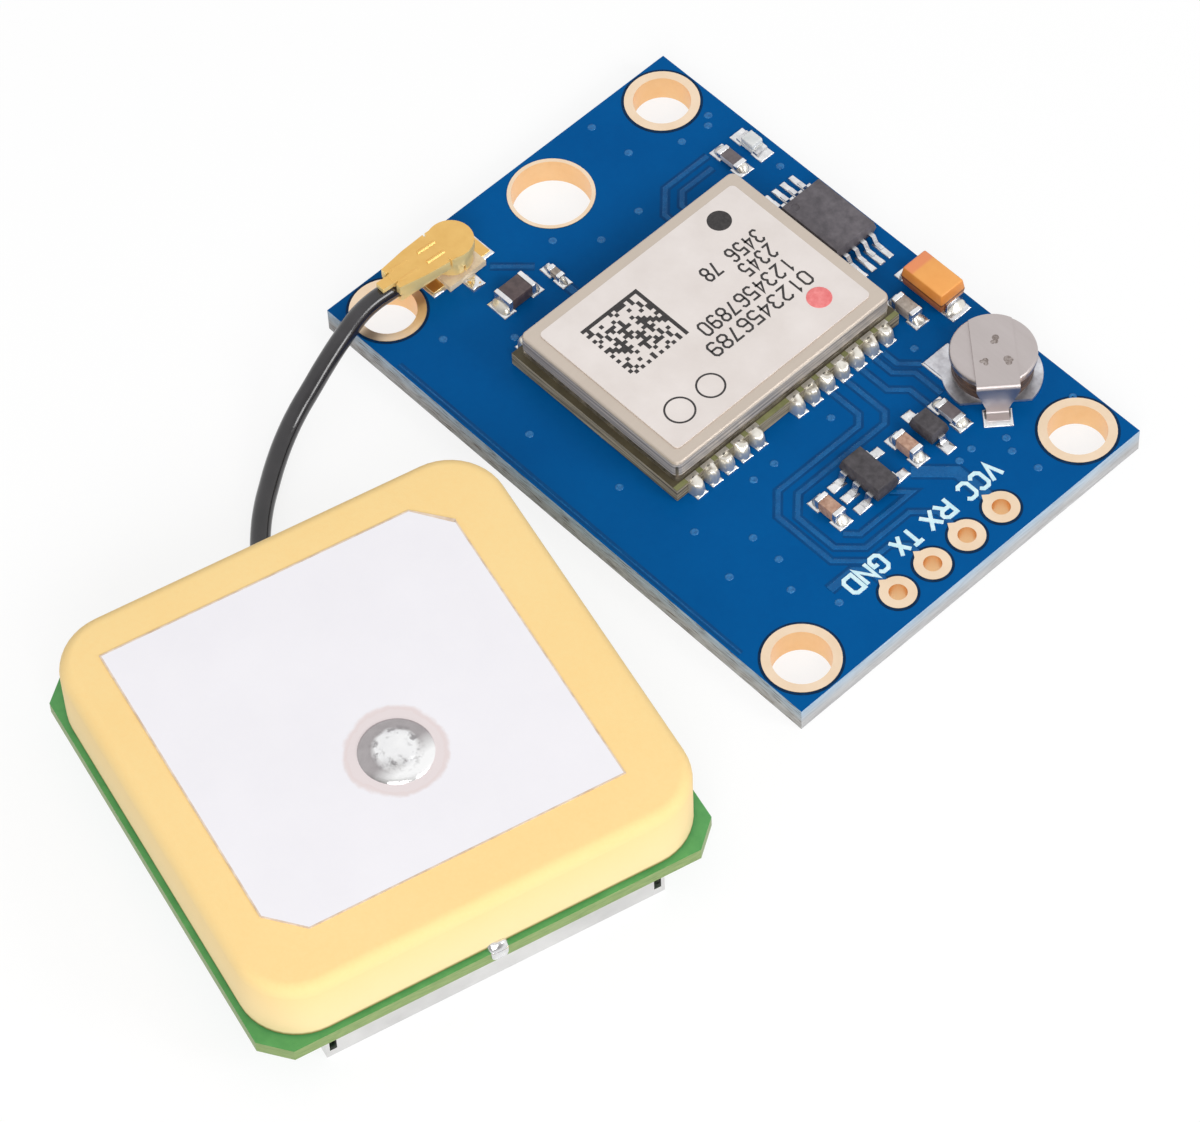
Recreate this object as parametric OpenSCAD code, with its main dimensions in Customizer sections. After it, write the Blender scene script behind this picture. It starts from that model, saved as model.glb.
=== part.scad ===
// Satellite positioning module: a blue breakout board with a shielded receiver,
// joined by a short coaxial cable to a ceramic patch antenna that lies beside it.
// Frame: millimetres, +Z up. The origin is the centre of the four mounting holes, on the board's underside.
// +X runs along the board towards the header holes. The antenna lies beyond the -Y edge.

/* [Circuit board] */
// Length of the board along X
board_l = 36; // [34:0.5:44]
// Width of the board along Y
board_w = 25; // [24.5:0.5:32]
// Thickness of the board
board_t = 1.6; // [0.8:0.1:2.4]

/* [Board holes] */
// Diameter of the four mounting holes, inside their plating
hole_d = 3.2; // [2.2:0.1:3.4]
// Width of the bare ring round a mounting hole
hole_ring_w = 0.5; // [0.2:0.05:0.6]
// Distance of a mounting hole's centre from both edges
hole_inset = 2.3; // [2.2:0.1:3]
// Diameter of the larger plated hole at the antenna end
large_hole_d = 4.4; // [3:0.1:4.6]
// Width of the thin rim round the larger hole
large_hole_rim_w = 0.22; // [0.22:0.01:0.3]
// Distance of the larger hole's centre from the board's end
large_hole_inset = 2.7; // [2.6:0.1:3.2]
// Offset of the larger hole's centre from the board's middle line
large_hole_y = 1.45; // [0.5:0.05:2]
// Number of header holes
header_count = 4; // [2:1:5]
// Spacing of the header holes
header_pitch = 2.54; // [2.5:0.02:2.8]
// Diameter of a header hole, inside its plating
header_hole_d = 1; // [0.8:0.05:1.2]
// Width of the bare ring round a header hole
header_ring_w = 0.5; // [0.3:0.05:0.6]
// Distance of the header holes from the board's end
header_inset = 1.7; // [1.5:0.1:2.5]
// Thickness of the plating in all the holes
plating_t = 0.17; // [0.04:0.01:0.2]

/* [Solder lands] */
// Thickness of a tinned land on the board
land_t = 0.05; // [0.03:0.01:0.1]
// How far a land runs out past the terminal on it
land_reach = 0.45; // [0.3:0.05:0.5]
// Leg of the hollow solder fillet at a chip's end
fillet_leg = 0.32; // [0.15:0.01:0.4]

/* [Receiver] */
// Width of the receiver's carrier along X
receiver_w = 12.6; // [11.5:0.1:13]
// Length of the receiver's carrier along Y
receiver_l = 16.4; // [15:0.1:16.8]
// Thickness of the carrier
receiver_board_t = 0.9; // [0.6:0.1:1.2]
// Height of the whole receiver over its lands
receiver_h = 2.5; // [2.3:0.1:3.2]
// Position of the receiver's centre along the board
receiver_x = -2.1; // [-2.6:0.1:-1.6]
// Distance of the receiver's centre from the board's back edge
receiver_y = 12.2; // [12.1:0.1:12.7]
// Distance of the shield's walls from the carrier's edges
shield_inset = 0.3; // [0.2:0.05:0.5]
// Thickness of the shield's sheet metal
shield_sheet_t = 0.2; // [0.1:0.05:0.25]
// Outer radius of the lid's upright corners
lid_corner_r = 0.45; // [0.4:0.05:1]
// Radius of the lid's pressed top edge
lid_edge_r = 0.2; // [0.2:0.05:0.4]
// Depth of the lid's skirt below its top
lid_skirt_h = 1.05; // [0.7:0.05:1.1]
// Width of the slit at each folded corner of the skirt
lid_slit_w = 0.16; // [0.1:0.02:0.3]
// How far the fence's foot stands out under the skirt
fence_foot_reach = 0.12; // [0.05:0.01:0.18]
// Height of the fence's foot
fence_foot_h = 0.22; // [0.1:0.02:0.3]
// Spacing of the edge terminals
terminal_pitch = 1.1; // [1:0.05:1.15]
// Distance of the outermost terminals from the carrier's ends
terminal_inset = 1.2; // [1:0.05:1.5]
// Number of terminals in the group nearer to the antenna
terminal_near_count = 5; // [3:1:5]
// Number of terminals in the other group
terminal_far_count = 7; // [4:1:7]
// Width of a terminal's pad
terminal_w = 0.75; // [0.5:0.05:0.85]
// Depth of a terminal's pad on the carrier
terminal_pad_l = 0.28; // [0.15:0.01:0.3]
// Radius of the half-round notch in the carrier's edge
terminal_notch_r = 0.26; // [0.2:0.01:0.3]
// Bare metal left round the label on the lid
label_margin = 0.75; // [0.5:0.05:1.2]
// Thickness of the label
label_t = 0.08; // [0.04:0.02:0.12]

/* [Inside the receiver] */
// Side of the square main chip
main_chip_w = 5.6; // [4.5:0.1:6]
// Height of the main chip
main_chip_h = 0.85; // [0.6:0.05:0.9]
// Length of the oscillator's can
oscillator_l = 2.5; // [2:0.1:3]
// Width of the oscillator's can
oscillator_w = 2; // [1.6:0.1:2.2]
// Height of the oscillator's can
oscillator_h = 0.8; // [0.6:0.05:0.9]
// Length of the clock crystal
crystal_l = 3.2; // [2.5:0.1:3.4]
// Width of the clock crystal
crystal_w = 1.5; // [1.2:0.1:1.8]
// Height of the clock crystal
crystal_h = 0.75; // [0.6:0.05:0.9]
// Side of the radio filter
filter_w = 1.4; // [1.1:0.1:1.6]
// Height of the radio filter
filter_h = 0.5; // [0.4:0.05:0.7]
// Offset of the main chip from the receiver's centre
main_chip_shift = 1.2; // [0.8:0.1:1.4]
// Distance of the oscillator and of the crystal from the receiver's middle line
inner_step_x = 2.4; // [2.2:0.1:2.6]
// Distance of their row from the receiver's centre
inner_row_y = 4.2; // [4.1:0.1:4.4]
// Clearance between chips inside the receiver
inner_clearance = 0.4; // [0.2:0.05:0.5]
// Spacing of the row of small chips
inner_chip_pitch = 1.6; // [1.2:0.1:1.8]

/* [Memory chip] */
// Length of the moulded body between the rows of leads
memory_body_l = 4.4; // [3.8:0.1:4.6]
// Width of the moulded body along the rows of leads
memory_body_w = 3; // [2.8:0.1:3.2]
// Height of the body over the lands
memory_h = 1.05; // [0.8:0.05:1.2]
// Span over the tips of the leads
memory_span = 6.4; // [6:0.1:6.8]
// Spacing of the leads
memory_pitch = 0.65; // [0.6:0.01:0.7]
// Width of a lead
memory_lead_w = 0.26; // [0.2:0.01:0.32]
// Clearance between the receiver and the parts behind it
receiver_clearance = 0.45; // [0.3:0.05:0.6]
// Offset of the memory chip from the receiver's middle line
memory_step_x = 1; // [0.6:0.1:1.2]

/* [Tantalum capacitor] */
// Length over its terminals
tantalum_l = 3.3; // [2.8:0.1:3.5]
// Width of the body
tantalum_w = 1.85; // [1.4:0.05:2]
// Height of the body over the lands
tantalum_h = 1.6; // [1.2:0.1:1.8]
// Width of the folded terminals
tantalum_terminal_w = 1.2; // [1:0.05:1.3]
// Clearance between it and the capacitor at the receiver's corner
tantalum_clearance = 0.65; // [0.3:0.05:0.8]
// Offset of both from the receiver's middle line
corner_step_x = 6.05; // [5.9:0.05:6.3]

/* [Chip parts] */
// Length of a common chip part
chip_l = 1.6; // [1.4:0.05:1.8]
// Width of a common chip part
chip_w = 0.8; // [0.7:0.05:0.9]
// Height of a chip capacitor
capacitor_h = 0.8; // [0.5:0.05:0.9]
// Height of a chip resistor
resistor_h = 0.45; // [0.35:0.05:0.6]
// Length of the metal cap at each end of a chip
chip_cap_l = 0.3; // [0.2:0.02:0.4]
// Length of the chip inductor
inductor_l = 2; // [1.8:0.05:2.2]
// Width of the chip inductor
inductor_w = 1.25; // [1:0.05:1.4]
// Height of the chip inductor
inductor_h = 0.9; // [0.6:0.05:1.1]
// Length of the small chip beside the antenna socket
small_chip_l = 1; // [0.9:0.05:1.2]
// Width of the small chip
small_chip_w = 0.5; // [0.4:0.05:0.6]
// Height of the small chip
small_chip_h = 0.5; // [0.35:0.05:0.6]

/* [Power column] */
// Distance of the column of power parts from the header end of the board
column_inset = 7.7; // [7.5:0.1:8.5]
// Distance of the regulator from the board's back edge
regulator_y = 12.4; // [12.2:0.1:13]
// Length of the regulator's body
regulator_l = 2.9; // [2.7:0.1:3.1]
// Width of the regulator's body
regulator_w = 1.6; // [1.4:0.1:1.7]
// Height of the regulator over the lands
regulator_h = 1.15; // [0.9:0.05:1.3]
// Span over the tips of the regulator's leads
regulator_span = 2.8; // [2.6:0.1:3]
// Spacing of the regulator's leads
regulator_pitch = 0.95; // [0.9:0.01:1]
// Width of a regulator or diode lead
power_lead_w = 0.42; // [0.3:0.02:0.5]
// Length of the diode's body
diode_l = 1.75; // [1.6:0.05:1.9]
// Width of the diode's body
diode_w = 1.3; // [1.1:0.05:1.4]
// Height of the diode over the lands
diode_h = 1; // [0.8:0.05:1.2]
// Span over the tips of the diode's leads
diode_span = 2.6; // [2.4:0.05:2.8]
// Clearance between neighbours in the column
column_clearance = 0.55; // [0.4:0.05:0.6]
// Clearance between the regulator's leads and the capacitors beside them
regulator_clearance = 1.05; // [0.8:0.05:1.2]

/* [Indicator lamp] */
// Height of the lamp over its lands
lamp_h = 0.65; // [0.5:0.05:0.8]
// Thickness of the lamp's base
lamp_base_t = 0.25; // [0.2:0.05:0.3]
// Distance of the lamp from the antenna end of the board
lamp_inset_x = 8; // [7:0.1:8]
// Distance of the lamp from the board's long edge
lamp_inset_y = 1; // [0.8:0.1:1.5]
// Distance between the lamp and its resistor
lamp_resistor_step = 1.55; // [1.4:0.05:1.9]

/* [Backup cell] */
// Diameter of the cell's cap
cell_d = 4.7; // [4.2:0.1:4.8]
// Height of the cap's top over the lands
cell_h = 2.2; // [1.6:0.1:2.6]
// Diameter of the welded bottom plate
cell_plate_d = 5.4; // [5:0.1:5.6]
// Thickness of the bottom plate and of the top strap
cell_strip_t = 0.15; // [0.1:0.01:0.2]
// Thickness of the cap
cell_cap_t = 0.4; // [0.3:0.05:0.5]
// Distance of the cell from the header end of the board
cell_inset_x = 8; // [7.6:0.1:8.4]
// Distance of the cell from the board's long edge
cell_inset_y = 2.85; // [2.8:0.05:3.2]
// Width of the strap over the cap
strap_w = 2.3; // [1.8:0.1:2.6]
// Width of the strap's foot
strap_foot_w = 1.2; // [0.9:0.05:1.4]
// Length of the strap's foot beyond its leg
strap_foot_l = 0.55; // [0.4:0.05:0.7]
// Direction of the strap from the cell's centre, in degrees from +X
strap_turn = -40; // [-50:1:-30]
// Clearance between the cell's cap and the strap's leg
strap_clearance = 0.12; // [0.05:0.01:0.2]
// Width of the square tab on the bottom plate
cell_tab_w = 1.8; // [1.4:0.1:2]

/* [Antenna socket] */
// Distance of the socket's centre from the board's end
socket_inset_x = 2.5; // [2.3:0.1:3]
// Distance of the socket's centre from the board's long edge
socket_inset_y = 6.8; // [6.6:0.1:7.4]
// Side of the socket's moulded base
socket_base_w = 2.6; // [2.4:0.1:3]
// Thickness of the moulded base
socket_base_t = 0.42; // [0.3:0.02:0.5]
// Outer diameter of the ring contact
socket_ring_d = 2; // [1.8:0.05:2.1]
// Height of the ring contact
socket_ring_h = 1.25; // [1.1:0.05:1.4]
// Wall of the ring contact
socket_ring_t = 0.15; // [0.1:0.01:0.2]
// Diameter of the centre pin
socket_pin_d = 0.5; // [0.4:0.05:0.55]
// How far the metal feet reach out past the base
socket_foot_reach = 0.75; // [0.6:0.05:0.9]
// Distance of the chip inductor from the socket, along the board
inductor_step_x = 4; // [3.8:0.1:4.4]
// Distance of the small chip from the socket, along the board
small_chip_step_x = 4.5; // [4.3:0.1:4.7]

/* [Antenna plug] */
// Outer diameter of the plug's cap
plug_d = 2.6; // [2.5:0.05:2.9]
// Height of the plug's top over the lands
plug_h = 2.25; // [2.15:0.05:2.6]
// Thickness of the plug's roof
plug_roof_t = 0.28; // [0.2:0.02:0.3]
// Depth of the folded sides of the cap and of its tail
plug_cap_h = 0.65; // [0.5:0.05:0.7]
// Thickness of the skirt that grips the ring contact
plug_skirt_t = 0.16; // [0.1:0.02:0.2]
// Width of the slits that part the cap from its tail
plug_slit_w = 0.14; // [0.1:0.02:0.2]
// Clearance between the plug's head and the ring contact
plug_clearance = 0.03; // [0.02:0.01:0.06]
// Height of the head's lower rim over the lands
plug_rim_z = 0.62; // [0.5:0.02:0.8]
// Distance from the head's centre to the end of the crimp
plug_l = 4.05; // [3.8:0.05:4.8]
// Length of the tongue that lies on the cable
plug_tongue_l = 0.75; // [0.4:0.05:0.9]
// Width of that tongue
plug_tongue_w = 0.6; // [0.4:0.05:0.7]
// Outer diameter of the crimp
plug_crimp_d = 1.65; // [1.6:0.05:1.9]
// Turn of the plug on the socket, in degrees from straight across the board
plug_turn = -4; // [-15:1:0]
// Depth to which the cable is held in the crimp
cable_grip_l = 1.2; // [1:0.1:1.4]

/* [Cable] */
// Diameter of the coaxial cable
cable_d = 1.1; // [0.9:0.05:1.25]

/* [Antenna] */
// Position of the antenna's centre along the board
antenna_x = 5.7; // [5:0.1:6.5]
// Distance of the antenna's centre from the board's long edge
antenna_step = 17.8; // [17:0.1:19]
// Turn of the antenna on the table, in degrees
antenna_turn = -14.3; // [-18:0.1:-10]
// Side of the ceramic block
ceramic_w = 25; // [22:0.5:26]
// Thickness of the ceramic block
ceramic_t = 4; // [3:0.1:5]
// Radius of the ceramic block's upright corners
ceramic_corner_r = 3.2; // [1.5:0.1:4]
// Radius of the ceramic block's top edge
ceramic_edge_r = 0.7; // [0.3:0.1:1]
// Side of the silvered patch
patch_w = 19.3; // [17:0.1:20]
// Thickness of the silvered patch
patch_t = 0.05; // [0.03:0.01:0.1]
// Cut at two opposite corners of the patch
patch_cut = 1.75; // [1:0.05:2.5]
// Offset of the patch from the block's centre, along its first side
patch_shift_u = -0.35; // [-0.6:0.05:0.6]
// Offset of the patch from the block's centre, along its other side
patch_shift_v = -0.5; // [-0.6:0.05:0.6]
// Offset of the feed pin from the block's centre
feed_u = 2.5; // [1.8:0.1:3]
// Diameter of the feed pin
feed_pin_d = 0.9; // [0.7:0.05:1]
// Diameter of the feed pin's head
feed_head_d = 1.8; // [1.5:0.1:2.2]
// Diameter of the solder on the feed pin
feed_solder_d = 3.9; // [3:0.1:4.5]
// Thickness of the tape under the ceramic
tape_t = 0.1; // [0.05:0.05:0.2]
// Side of the antenna's green board
antenna_board_w = 25.6; // [25:0.1:28]
// Thickness of the antenna's green board
antenna_board_t = 0.8; // [0.6:0.1:1]
// Cut at the corners of the green board
antenna_board_cut = 1.4; // [1:0.1:2]
// Length of the shield can under the green board
can_l = 24.6; // [22:0.1:25]
// Width of the shield can
can_w = 19.1; // [18:0.1:22]
// Height of the shield can
can_h = 2.2; // [2:0.1:3]
// Thickness of the can's sheet metal
can_sheet_t = 0.2; // [0.15:0.05:0.3]
// Width of the open slits at the can's folded corners
can_slit_w = 0.4; // [0.2:0.05:0.6]
// Width of the notch where the cable goes in
can_notch_w = 1.7; // [1.4:0.1:2]
// Offset of the notch from the middle of that side
can_notch_v = 0.2; // [0:0.05:0.4]

/* [Inside the antenna can] */
// Length of the amplifier chip
amplifier_l = 2; // [1.6:0.1:2.4]
// Width of the amplifier chip
amplifier_w = 1.25; // [1:0.05:1.5]
// Height of the amplifier chip
amplifier_h = 0.95; // [0.7:0.05:1.1]
// Side of the filter between the antenna and the amplifier
antenna_filter_w = 3; // [2.5:0.1:3.2]
// Height of that filter
antenna_filter_h = 1.1; // [0.9:0.05:1.3]
// Distance of the amplifier and of the filter from the can's middle line
antenna_chip_step = 3; // [2.9:0.1:3.5]
// Distance of their row from the can's centre
antenna_row_step = 4.5; // [4.2:0.1:5]

/* [Hidden] */
$fn = 48;

// Cuts run this far past the faces that they open
over = 0.1;
// Parts on the board stand on the tinned lands
seat_z = board_t + land_t;
land_z = board_t + land_t / 2;

// Holes
hole_x = board_l / 2 - hole_inset;
hole_y = board_w / 2 - hole_inset;
hole_ring_d = hole_d + 2 * hole_ring_w;
large_hole_x = -board_l / 2 + large_hole_inset;
large_hole_rim_d = large_hole_d + 2 * large_hole_rim_w;
header_x = board_l / 2 - header_inset;
header_pad_d = header_hole_d + 2 * header_ring_w;

// Receiver
receiver_mid = board_w / 2 - receiver_y;
receiver_back = receiver_mid + receiver_l / 2;
terminal_group_gap = receiver_l - 2 * terminal_inset
    - terminal_pitch * (terminal_near_count + terminal_far_count - 2);
terminal_ys = concat(
    [for (i = [0 : terminal_near_count - 1]) -receiver_l / 2 + terminal_inset + i * terminal_pitch],
    [for (i = [0 : terminal_far_count - 1]) receiver_l / 2 - terminal_inset - i * terminal_pitch]);
shield_w = receiver_w - 2 * shield_inset;
shield_l = receiver_l - 2 * shield_inset;
carrier_top = seat_z + receiver_board_t;
lid_top = seat_z + receiver_h;
fence_w = shield_w - 2 * shield_sheet_t;
fence_l = shield_l - 2 * shield_sheet_t;
fence_corner_r = lid_corner_r - shield_sheet_t;
inner_chip_y = main_chip_shift + main_chip_w / 2 + 2 * inner_clearance + small_chip_l / 2;

// Parts behind the receiver
memory_x = receiver_x - memory_step_x;
memory_y = receiver_back + receiver_clearance + memory_body_w / 2;
corner_x = receiver_x + corner_step_x;
corner_y = receiver_back + receiver_clearance + chip_w / 2;
tantalum_y = corner_y + chip_w / 2 + tantalum_clearance + tantalum_w / 2;

// Power column
column_x = board_l / 2 - column_inset;
regulator_mid = board_w / 2 - regulator_y;
output_y = regulator_mid + regulator_span / 2 + regulator_clearance + chip_w / 2;
input_y = regulator_mid - regulator_span / 2 - regulator_clearance - chip_w / 2;
diode_y = output_y + chip_w / 2 + column_clearance + diode_w / 2;
charge_y = diode_y + diode_w / 2 + column_clearance + chip_w / 2;

// Regulator leads: place along the body in pitches, and side
regulator_lead_places = [[-1, -1], [0, -1], [1, -1], [-1, 1], [1, 1]];

// Lamp, antenna socket and plug
lamp_x = -board_l / 2 + lamp_inset_x;
lamp_y = board_w / 2 - lamp_inset_y;
socket_x = -board_l / 2 + socket_inset_x;
socket_y = -board_w / 2 + socket_inset_y;
plug_bore_d = socket_ring_d + 2 * plug_clearance;
plug_skirt_d = plug_bore_d + 2 * plug_skirt_t;
plug_slit_y = -plug_d / 3;
plug_neck_y = -plug_d / 2 - 1;
plug_cap_z = plug_h - plug_cap_h;
// Height of the cable's axis in the crimp, over the lands
cable_z = 1.3;

// Two-ended chips: centre, turn, length, width, height
corner_capacitor_place = [corner_x, corner_y, 0, chip_l, chip_w, capacitor_h];
output_capacitor_place = [column_x, output_y, 0, chip_l, chip_w, capacitor_h];
input_capacitor_place = [column_x, input_y, 0, chip_l, chip_w, capacitor_h];
charge_resistor_place = [column_x, charge_y, 0, chip_l, chip_w, resistor_h];
lamp_resistor_place = [lamp_x, lamp_y - lamp_resistor_step, 0, chip_l, chip_w, resistor_h];
lamp_place = [lamp_x, lamp_y, 0, chip_l, chip_w, lamp_base_t];
bias_inductor_place =
    [socket_x + inductor_step_x, socket_y + 0.95, 90, inductor_l, inductor_w, inductor_h];
radio_capacitor_place =
    [socket_x + small_chip_step_x, socket_y + 3.45, 0, small_chip_l, small_chip_w, small_chip_h];
chips = [
    corner_capacitor_place, output_capacitor_place, input_capacitor_place, charge_resistor_place,
    lamp_resistor_place, bias_inductor_place, radio_capacitor_place
];

// Backup cell, with the strap's own directions: s runs out to its leg, w across it
cell_x = board_l / 2 - cell_inset_x;
cell_y = board_w / 2 - cell_inset_y;
leg_s = cell_d / 2 + strap_clearance;
strap_top = cell_h + cell_strip_t;
strap_bend_r = 2 * cell_strip_t;
plate_chord_s = leg_s - 0.55;
cell_can_d = 2 * plate_chord_s;
cell_can_h = 0.35;
cell_gasket_d = cell_d - 0.3;

// Antenna stack
antenna_y = -board_w / 2 - antenna_step;
tape_z = can_h + antenna_board_t;
ceramic_z = tape_z + tape_t;
patch_z = ceramic_z + ceramic_t;
head_t = 0.25;
feed_tail = 0.45;

// Height of the cable's axis where it rests on the table
lay_z = cable_d / 2 + 0.05;
// Cable route from the crimp to its joint inside the antenna's can
cable_route = [
    [-15.7, -8.55, 2.95], [-15.8, -10.0, 2.95], [-15.85, -11.0, 2.95], [-15.75, -12.1, 2.9],
    [-15.4, -13.6, 2.7], [-15.0, -15.2, 2.3], [-14.6, -16.7, 1.8], [-14.25, -18.0, 1.35],
    [-13.7, -19.4, 0.95], [-13.0, -20.7, 0.7], [-12.2, -21.9, lay_z], [-11.3, -23.1, lay_z],
    [-10.3, -24.2, lay_z], [-9.2, -25.2, lay_z], [-8.0, -26.1, 0.7], [-6.2, -27.0, 0.9],
    [-4.2, -27.6, 1.1], [-2.2, -28.1, 1.3], [-0.2, -28.6, 1.4], [1.8, -29.1, 1.4], [3.2, -29.45, 1.4]
];

// Shared shapes

// Rectangle with round corners, centred
module round_rectangle(w, l, r) {
    square([w - 2 * r, l], center = true);
    square([w, l - 2 * r], center = true);
    for (x = [-1, 1], y = [-1, 1])
        translate([x * (w / 2 - r), y * (l / 2 - r)])
            circle(r);
}

// Square with its corners cut off, centred
module cut_square(w, cut) {
    e = w / 2;
    i = e - cut;
    polygon([[-i, -e], [i, -e], [e, -i], [e, i], [i, e], [-i, e], [-e, i], [-e, -i]]);
}

// Block on z = 0 with round upright corners and a round top edge
module soft_block(w, l, h, corner_r, edge_r) {
    steps = 4;
    hull()
        for (x = [-1, 1], y = [-1, 1], i = [0 : steps]) {
            a = 90 * i / steps;
            low = i == 0 ? 0 : h - edge_r + edge_r * sin(a) - 0.01;
            high = h - edge_r + edge_r * sin(a);
            translate([x * (w / 2 - corner_r), y * (l / 2 - corner_r), low])
                cylinder(r = corner_r - edge_r * (1 - cos(a)), h = high - low, $fn = 28);
        }
}

// Plated hole lining with a bare ring on both faces of the board
module hole_lining(d, ring_d) {
    difference() {
        union() {
            cylinder(d = d + 2 * plating_t, h = board_t);
            cylinder(d = ring_d, h = land_t);
            translate([0, 0, board_t - land_t])
                cylinder(d = ring_d, h = 2 * land_t);
        }
        translate([0, 0, -over])
            cylinder(d = d, h = board_t + 2 * over);
    }
}

// Room in the board for a plated hole lining
module hole_room(d, ring_d) {
    translate([0, 0, -over])
        cylinder(d = d + 2 * plating_t, h = board_t + 2 * over);
    translate([0, 0, -over])
        cylinder(d = ring_d, h = land_t + over);
    translate([0, 0, board_t - land_t])
        cylinder(d = ring_d, h = land_t + over);
}

// Puts its children at each plated hole of one kind
module at_mounting_holes() {
    for (x = [-hole_x, hole_x], y = [-hole_y, hole_y])
        translate([x, y, 0])
            children();
}

module at_header_holes() {
    for (i = [0 : header_count - 1])
        translate([header_x, header_pitch * ((header_count - 1) / 2 - i), 0])
            children();
}

module at_large_hole() {
    translate([large_hole_x, large_hole_y, 0])
        children();
}

// Places children on the lands at a chip's centre, along its length
module at_chip(place) {
    translate([place[0], place[1], seat_z])
        rotate(place[2])
            children();
}

// Ceramic body of a chip, lifted a little by its end caps
module chip_core(place) {
    lift = 0.03;
    at_chip(place)
        translate([0, 0, lift + (place[5] - 2 * lift) / 2])
            cube([place[3] - 2 * chip_cap_l, place[4] - 2 * lift, place[5] - 2 * lift], center = true);
}

// The two metal caps of a chip, with rounded long edges
module chip_caps(place) {
    at_chip(place)
        for (side = [-1, 1])
            translate([side * (place[3] - chip_cap_l) / 2, 0, place[5] / 2])
                rotate([90, 0, 90])
                    linear_extrude(chip_cap_l, center = true)
                        round_rectangle(place[4], place[5], 0.09);
}

// The two lands under a chip
module chip_lands(place) {
    inner = place[3] / 2 - chip_cap_l - 0.1;
    outer = place[3] / 2 + land_reach;
    translate([place[0], place[1], board_t])
        rotate(place[2])
            for (side = [-1, 1])
                translate([side * (inner + outer) / 2, 0, land_t / 2])
                    cube([outer - inner, place[4] + 0.2, land_t], center = true);
}

// Hollow solder fillet that rises from the land against an upright face at x = 0
module fillet(w, leg) {
    rotate([90, 0, 0])
        linear_extrude(w, center = true)
            difference() {
                square(leg);
                translate([leg, leg])
                    circle(leg);
            }
}

// The two fillets at a chip's ends
module chip_fillets(place) {
    leg = min(fillet_leg, place[5] - 0.1);
    at_chip(place)
        for (turn = [0, 180])
            rotate(turn)
                translate([place[3] / 2, 0, 0])
                    fillet(place[4] - 0.2, leg);
}

// Gull-wing lead along +X, from a body's wall at x = 0 to its flat foot on z = 0
module gull_lead(reach, rise, w) {
    t = 0.15;
    shoulder = 0.3 * reach;
    slope = 0.25 * reach;
    knee = 0.08;
    rotate([90, 0, 0])
        linear_extrude(w, center = true)
            polygon([
                [0, rise], [shoulder, rise], [shoulder + slope, t], [reach, t], [reach, 0],
                [shoulder + slope - knee, 0], [shoulder - knee, rise - t], [0, rise - t]
            ]);
}

// Moulded body on z = low with a parting line and sides that lean in above and below it
module moulded_body(l, w, low, high, draft) {
    middle = (low + high) / 2;
    intersection() {
        rotate([90, 0, 0])
            linear_extrude(w, center = true)
                polygon([
                    [-l / 2 + draft, low], [l / 2 - draft, low], [l / 2, middle],
                    [l / 2 - draft, high], [-l / 2 + draft, high], [-l / 2, middle]
                ]);
        rotate([90, 0, 90])
            linear_extrude(l, center = true)
                polygon([
                    [-w / 2 + draft, low], [w / 2 - draft, low], [w / 2, middle],
                    [w / 2 - draft, high], [-w / 2 + draft, high], [-w / 2, middle]
                ]);
    }
}

// Places children in the antenna's own frame on the table
module at_antenna() {
    translate([antenna_x, antenna_y, 0])
        rotate(antenna_turn)
            children();
}

// Places children at the backup cell, with the strap's directions
module at_cell() {
    translate([cell_x, cell_y, seat_z])
        children();
}

// Places children at the antenna socket
module at_socket() {
    translate([socket_x, socket_y, seat_z])
        children();
}

// Places children at the plug, turned on the socket
module at_plug() {
    at_socket()
        rotate(plug_turn)
            children();
}

// Board and its plated holes

module circuit_board() {
    color([0, 0.34, 0.6])
        difference() {
            translate([-board_l / 2, -board_w / 2, 0])
                cube([board_l, board_w, board_t]);
            at_mounting_holes()
                hole_room(hole_d, hole_ring_d);
            at_header_holes()
                hole_room(header_hole_d, header_pad_d);
            at_large_hole()
                hole_room(large_hole_d, large_hole_rim_d);
        }
}

module mounting_hole_rings() {
    color([0.93, 0.76, 0.5])
        at_mounting_holes()
            hole_lining(hole_d, hole_ring_d);
}

module large_hole_lining() {
    color([0.93, 0.76, 0.5])
        at_large_hole()
            hole_lining(large_hole_d, large_hole_rim_d);
}

module header_hole_rings() {
    color([0.93, 0.76, 0.5])
        at_header_holes()
            hole_lining(header_hole_d, header_pad_d);
}

// Lands of all the parts on the board
module solder_lands() {
    color([0.8, 0.8, 0.8]) {
        for (place = concat(chips, [lamp_place]))
            chip_lands(place);
        for (side = [-1, 1], y = terminal_ys)
            translate([receiver_x + side * (receiver_w + land_reach) / 2, receiver_mid + y, land_z])
                cube([2 * terminal_notch_r + land_reach, terminal_w, land_t], center = true);
        for (side = [-1, 1], i = [-1.5 : 1.5])
            translate([memory_x + side * memory_span / 2, memory_y + i * memory_pitch, land_z])
                cube([3 * land_reach, memory_lead_w + 0.12, land_t], center = true);
        for (side = [-1, 1])
            translate([corner_x + side * tantalum_l / 2, tantalum_y, land_z])
                cube([2.6 * land_reach, tantalum_terminal_w + 0.2, land_t], center = true);
        translate([column_x, regulator_mid, land_z])
            for (place = regulator_lead_places)
                translate([place[0] * regulator_pitch, place[1] * regulator_span / 2, 0])
                    cube([power_lead_w + 0.16, 2.2 * land_reach, land_t], center = true);
        for (side = [-1, 1])
            translate([column_x + side * diode_span / 2, diode_y, land_z])
                cube([2 * land_reach, power_lead_w + 0.3, land_t], center = true);
        translate([cell_x, cell_y, board_t])
            cell_lands();
        translate([socket_x, socket_y, board_t])
            socket_lands();
    }
}

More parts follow.
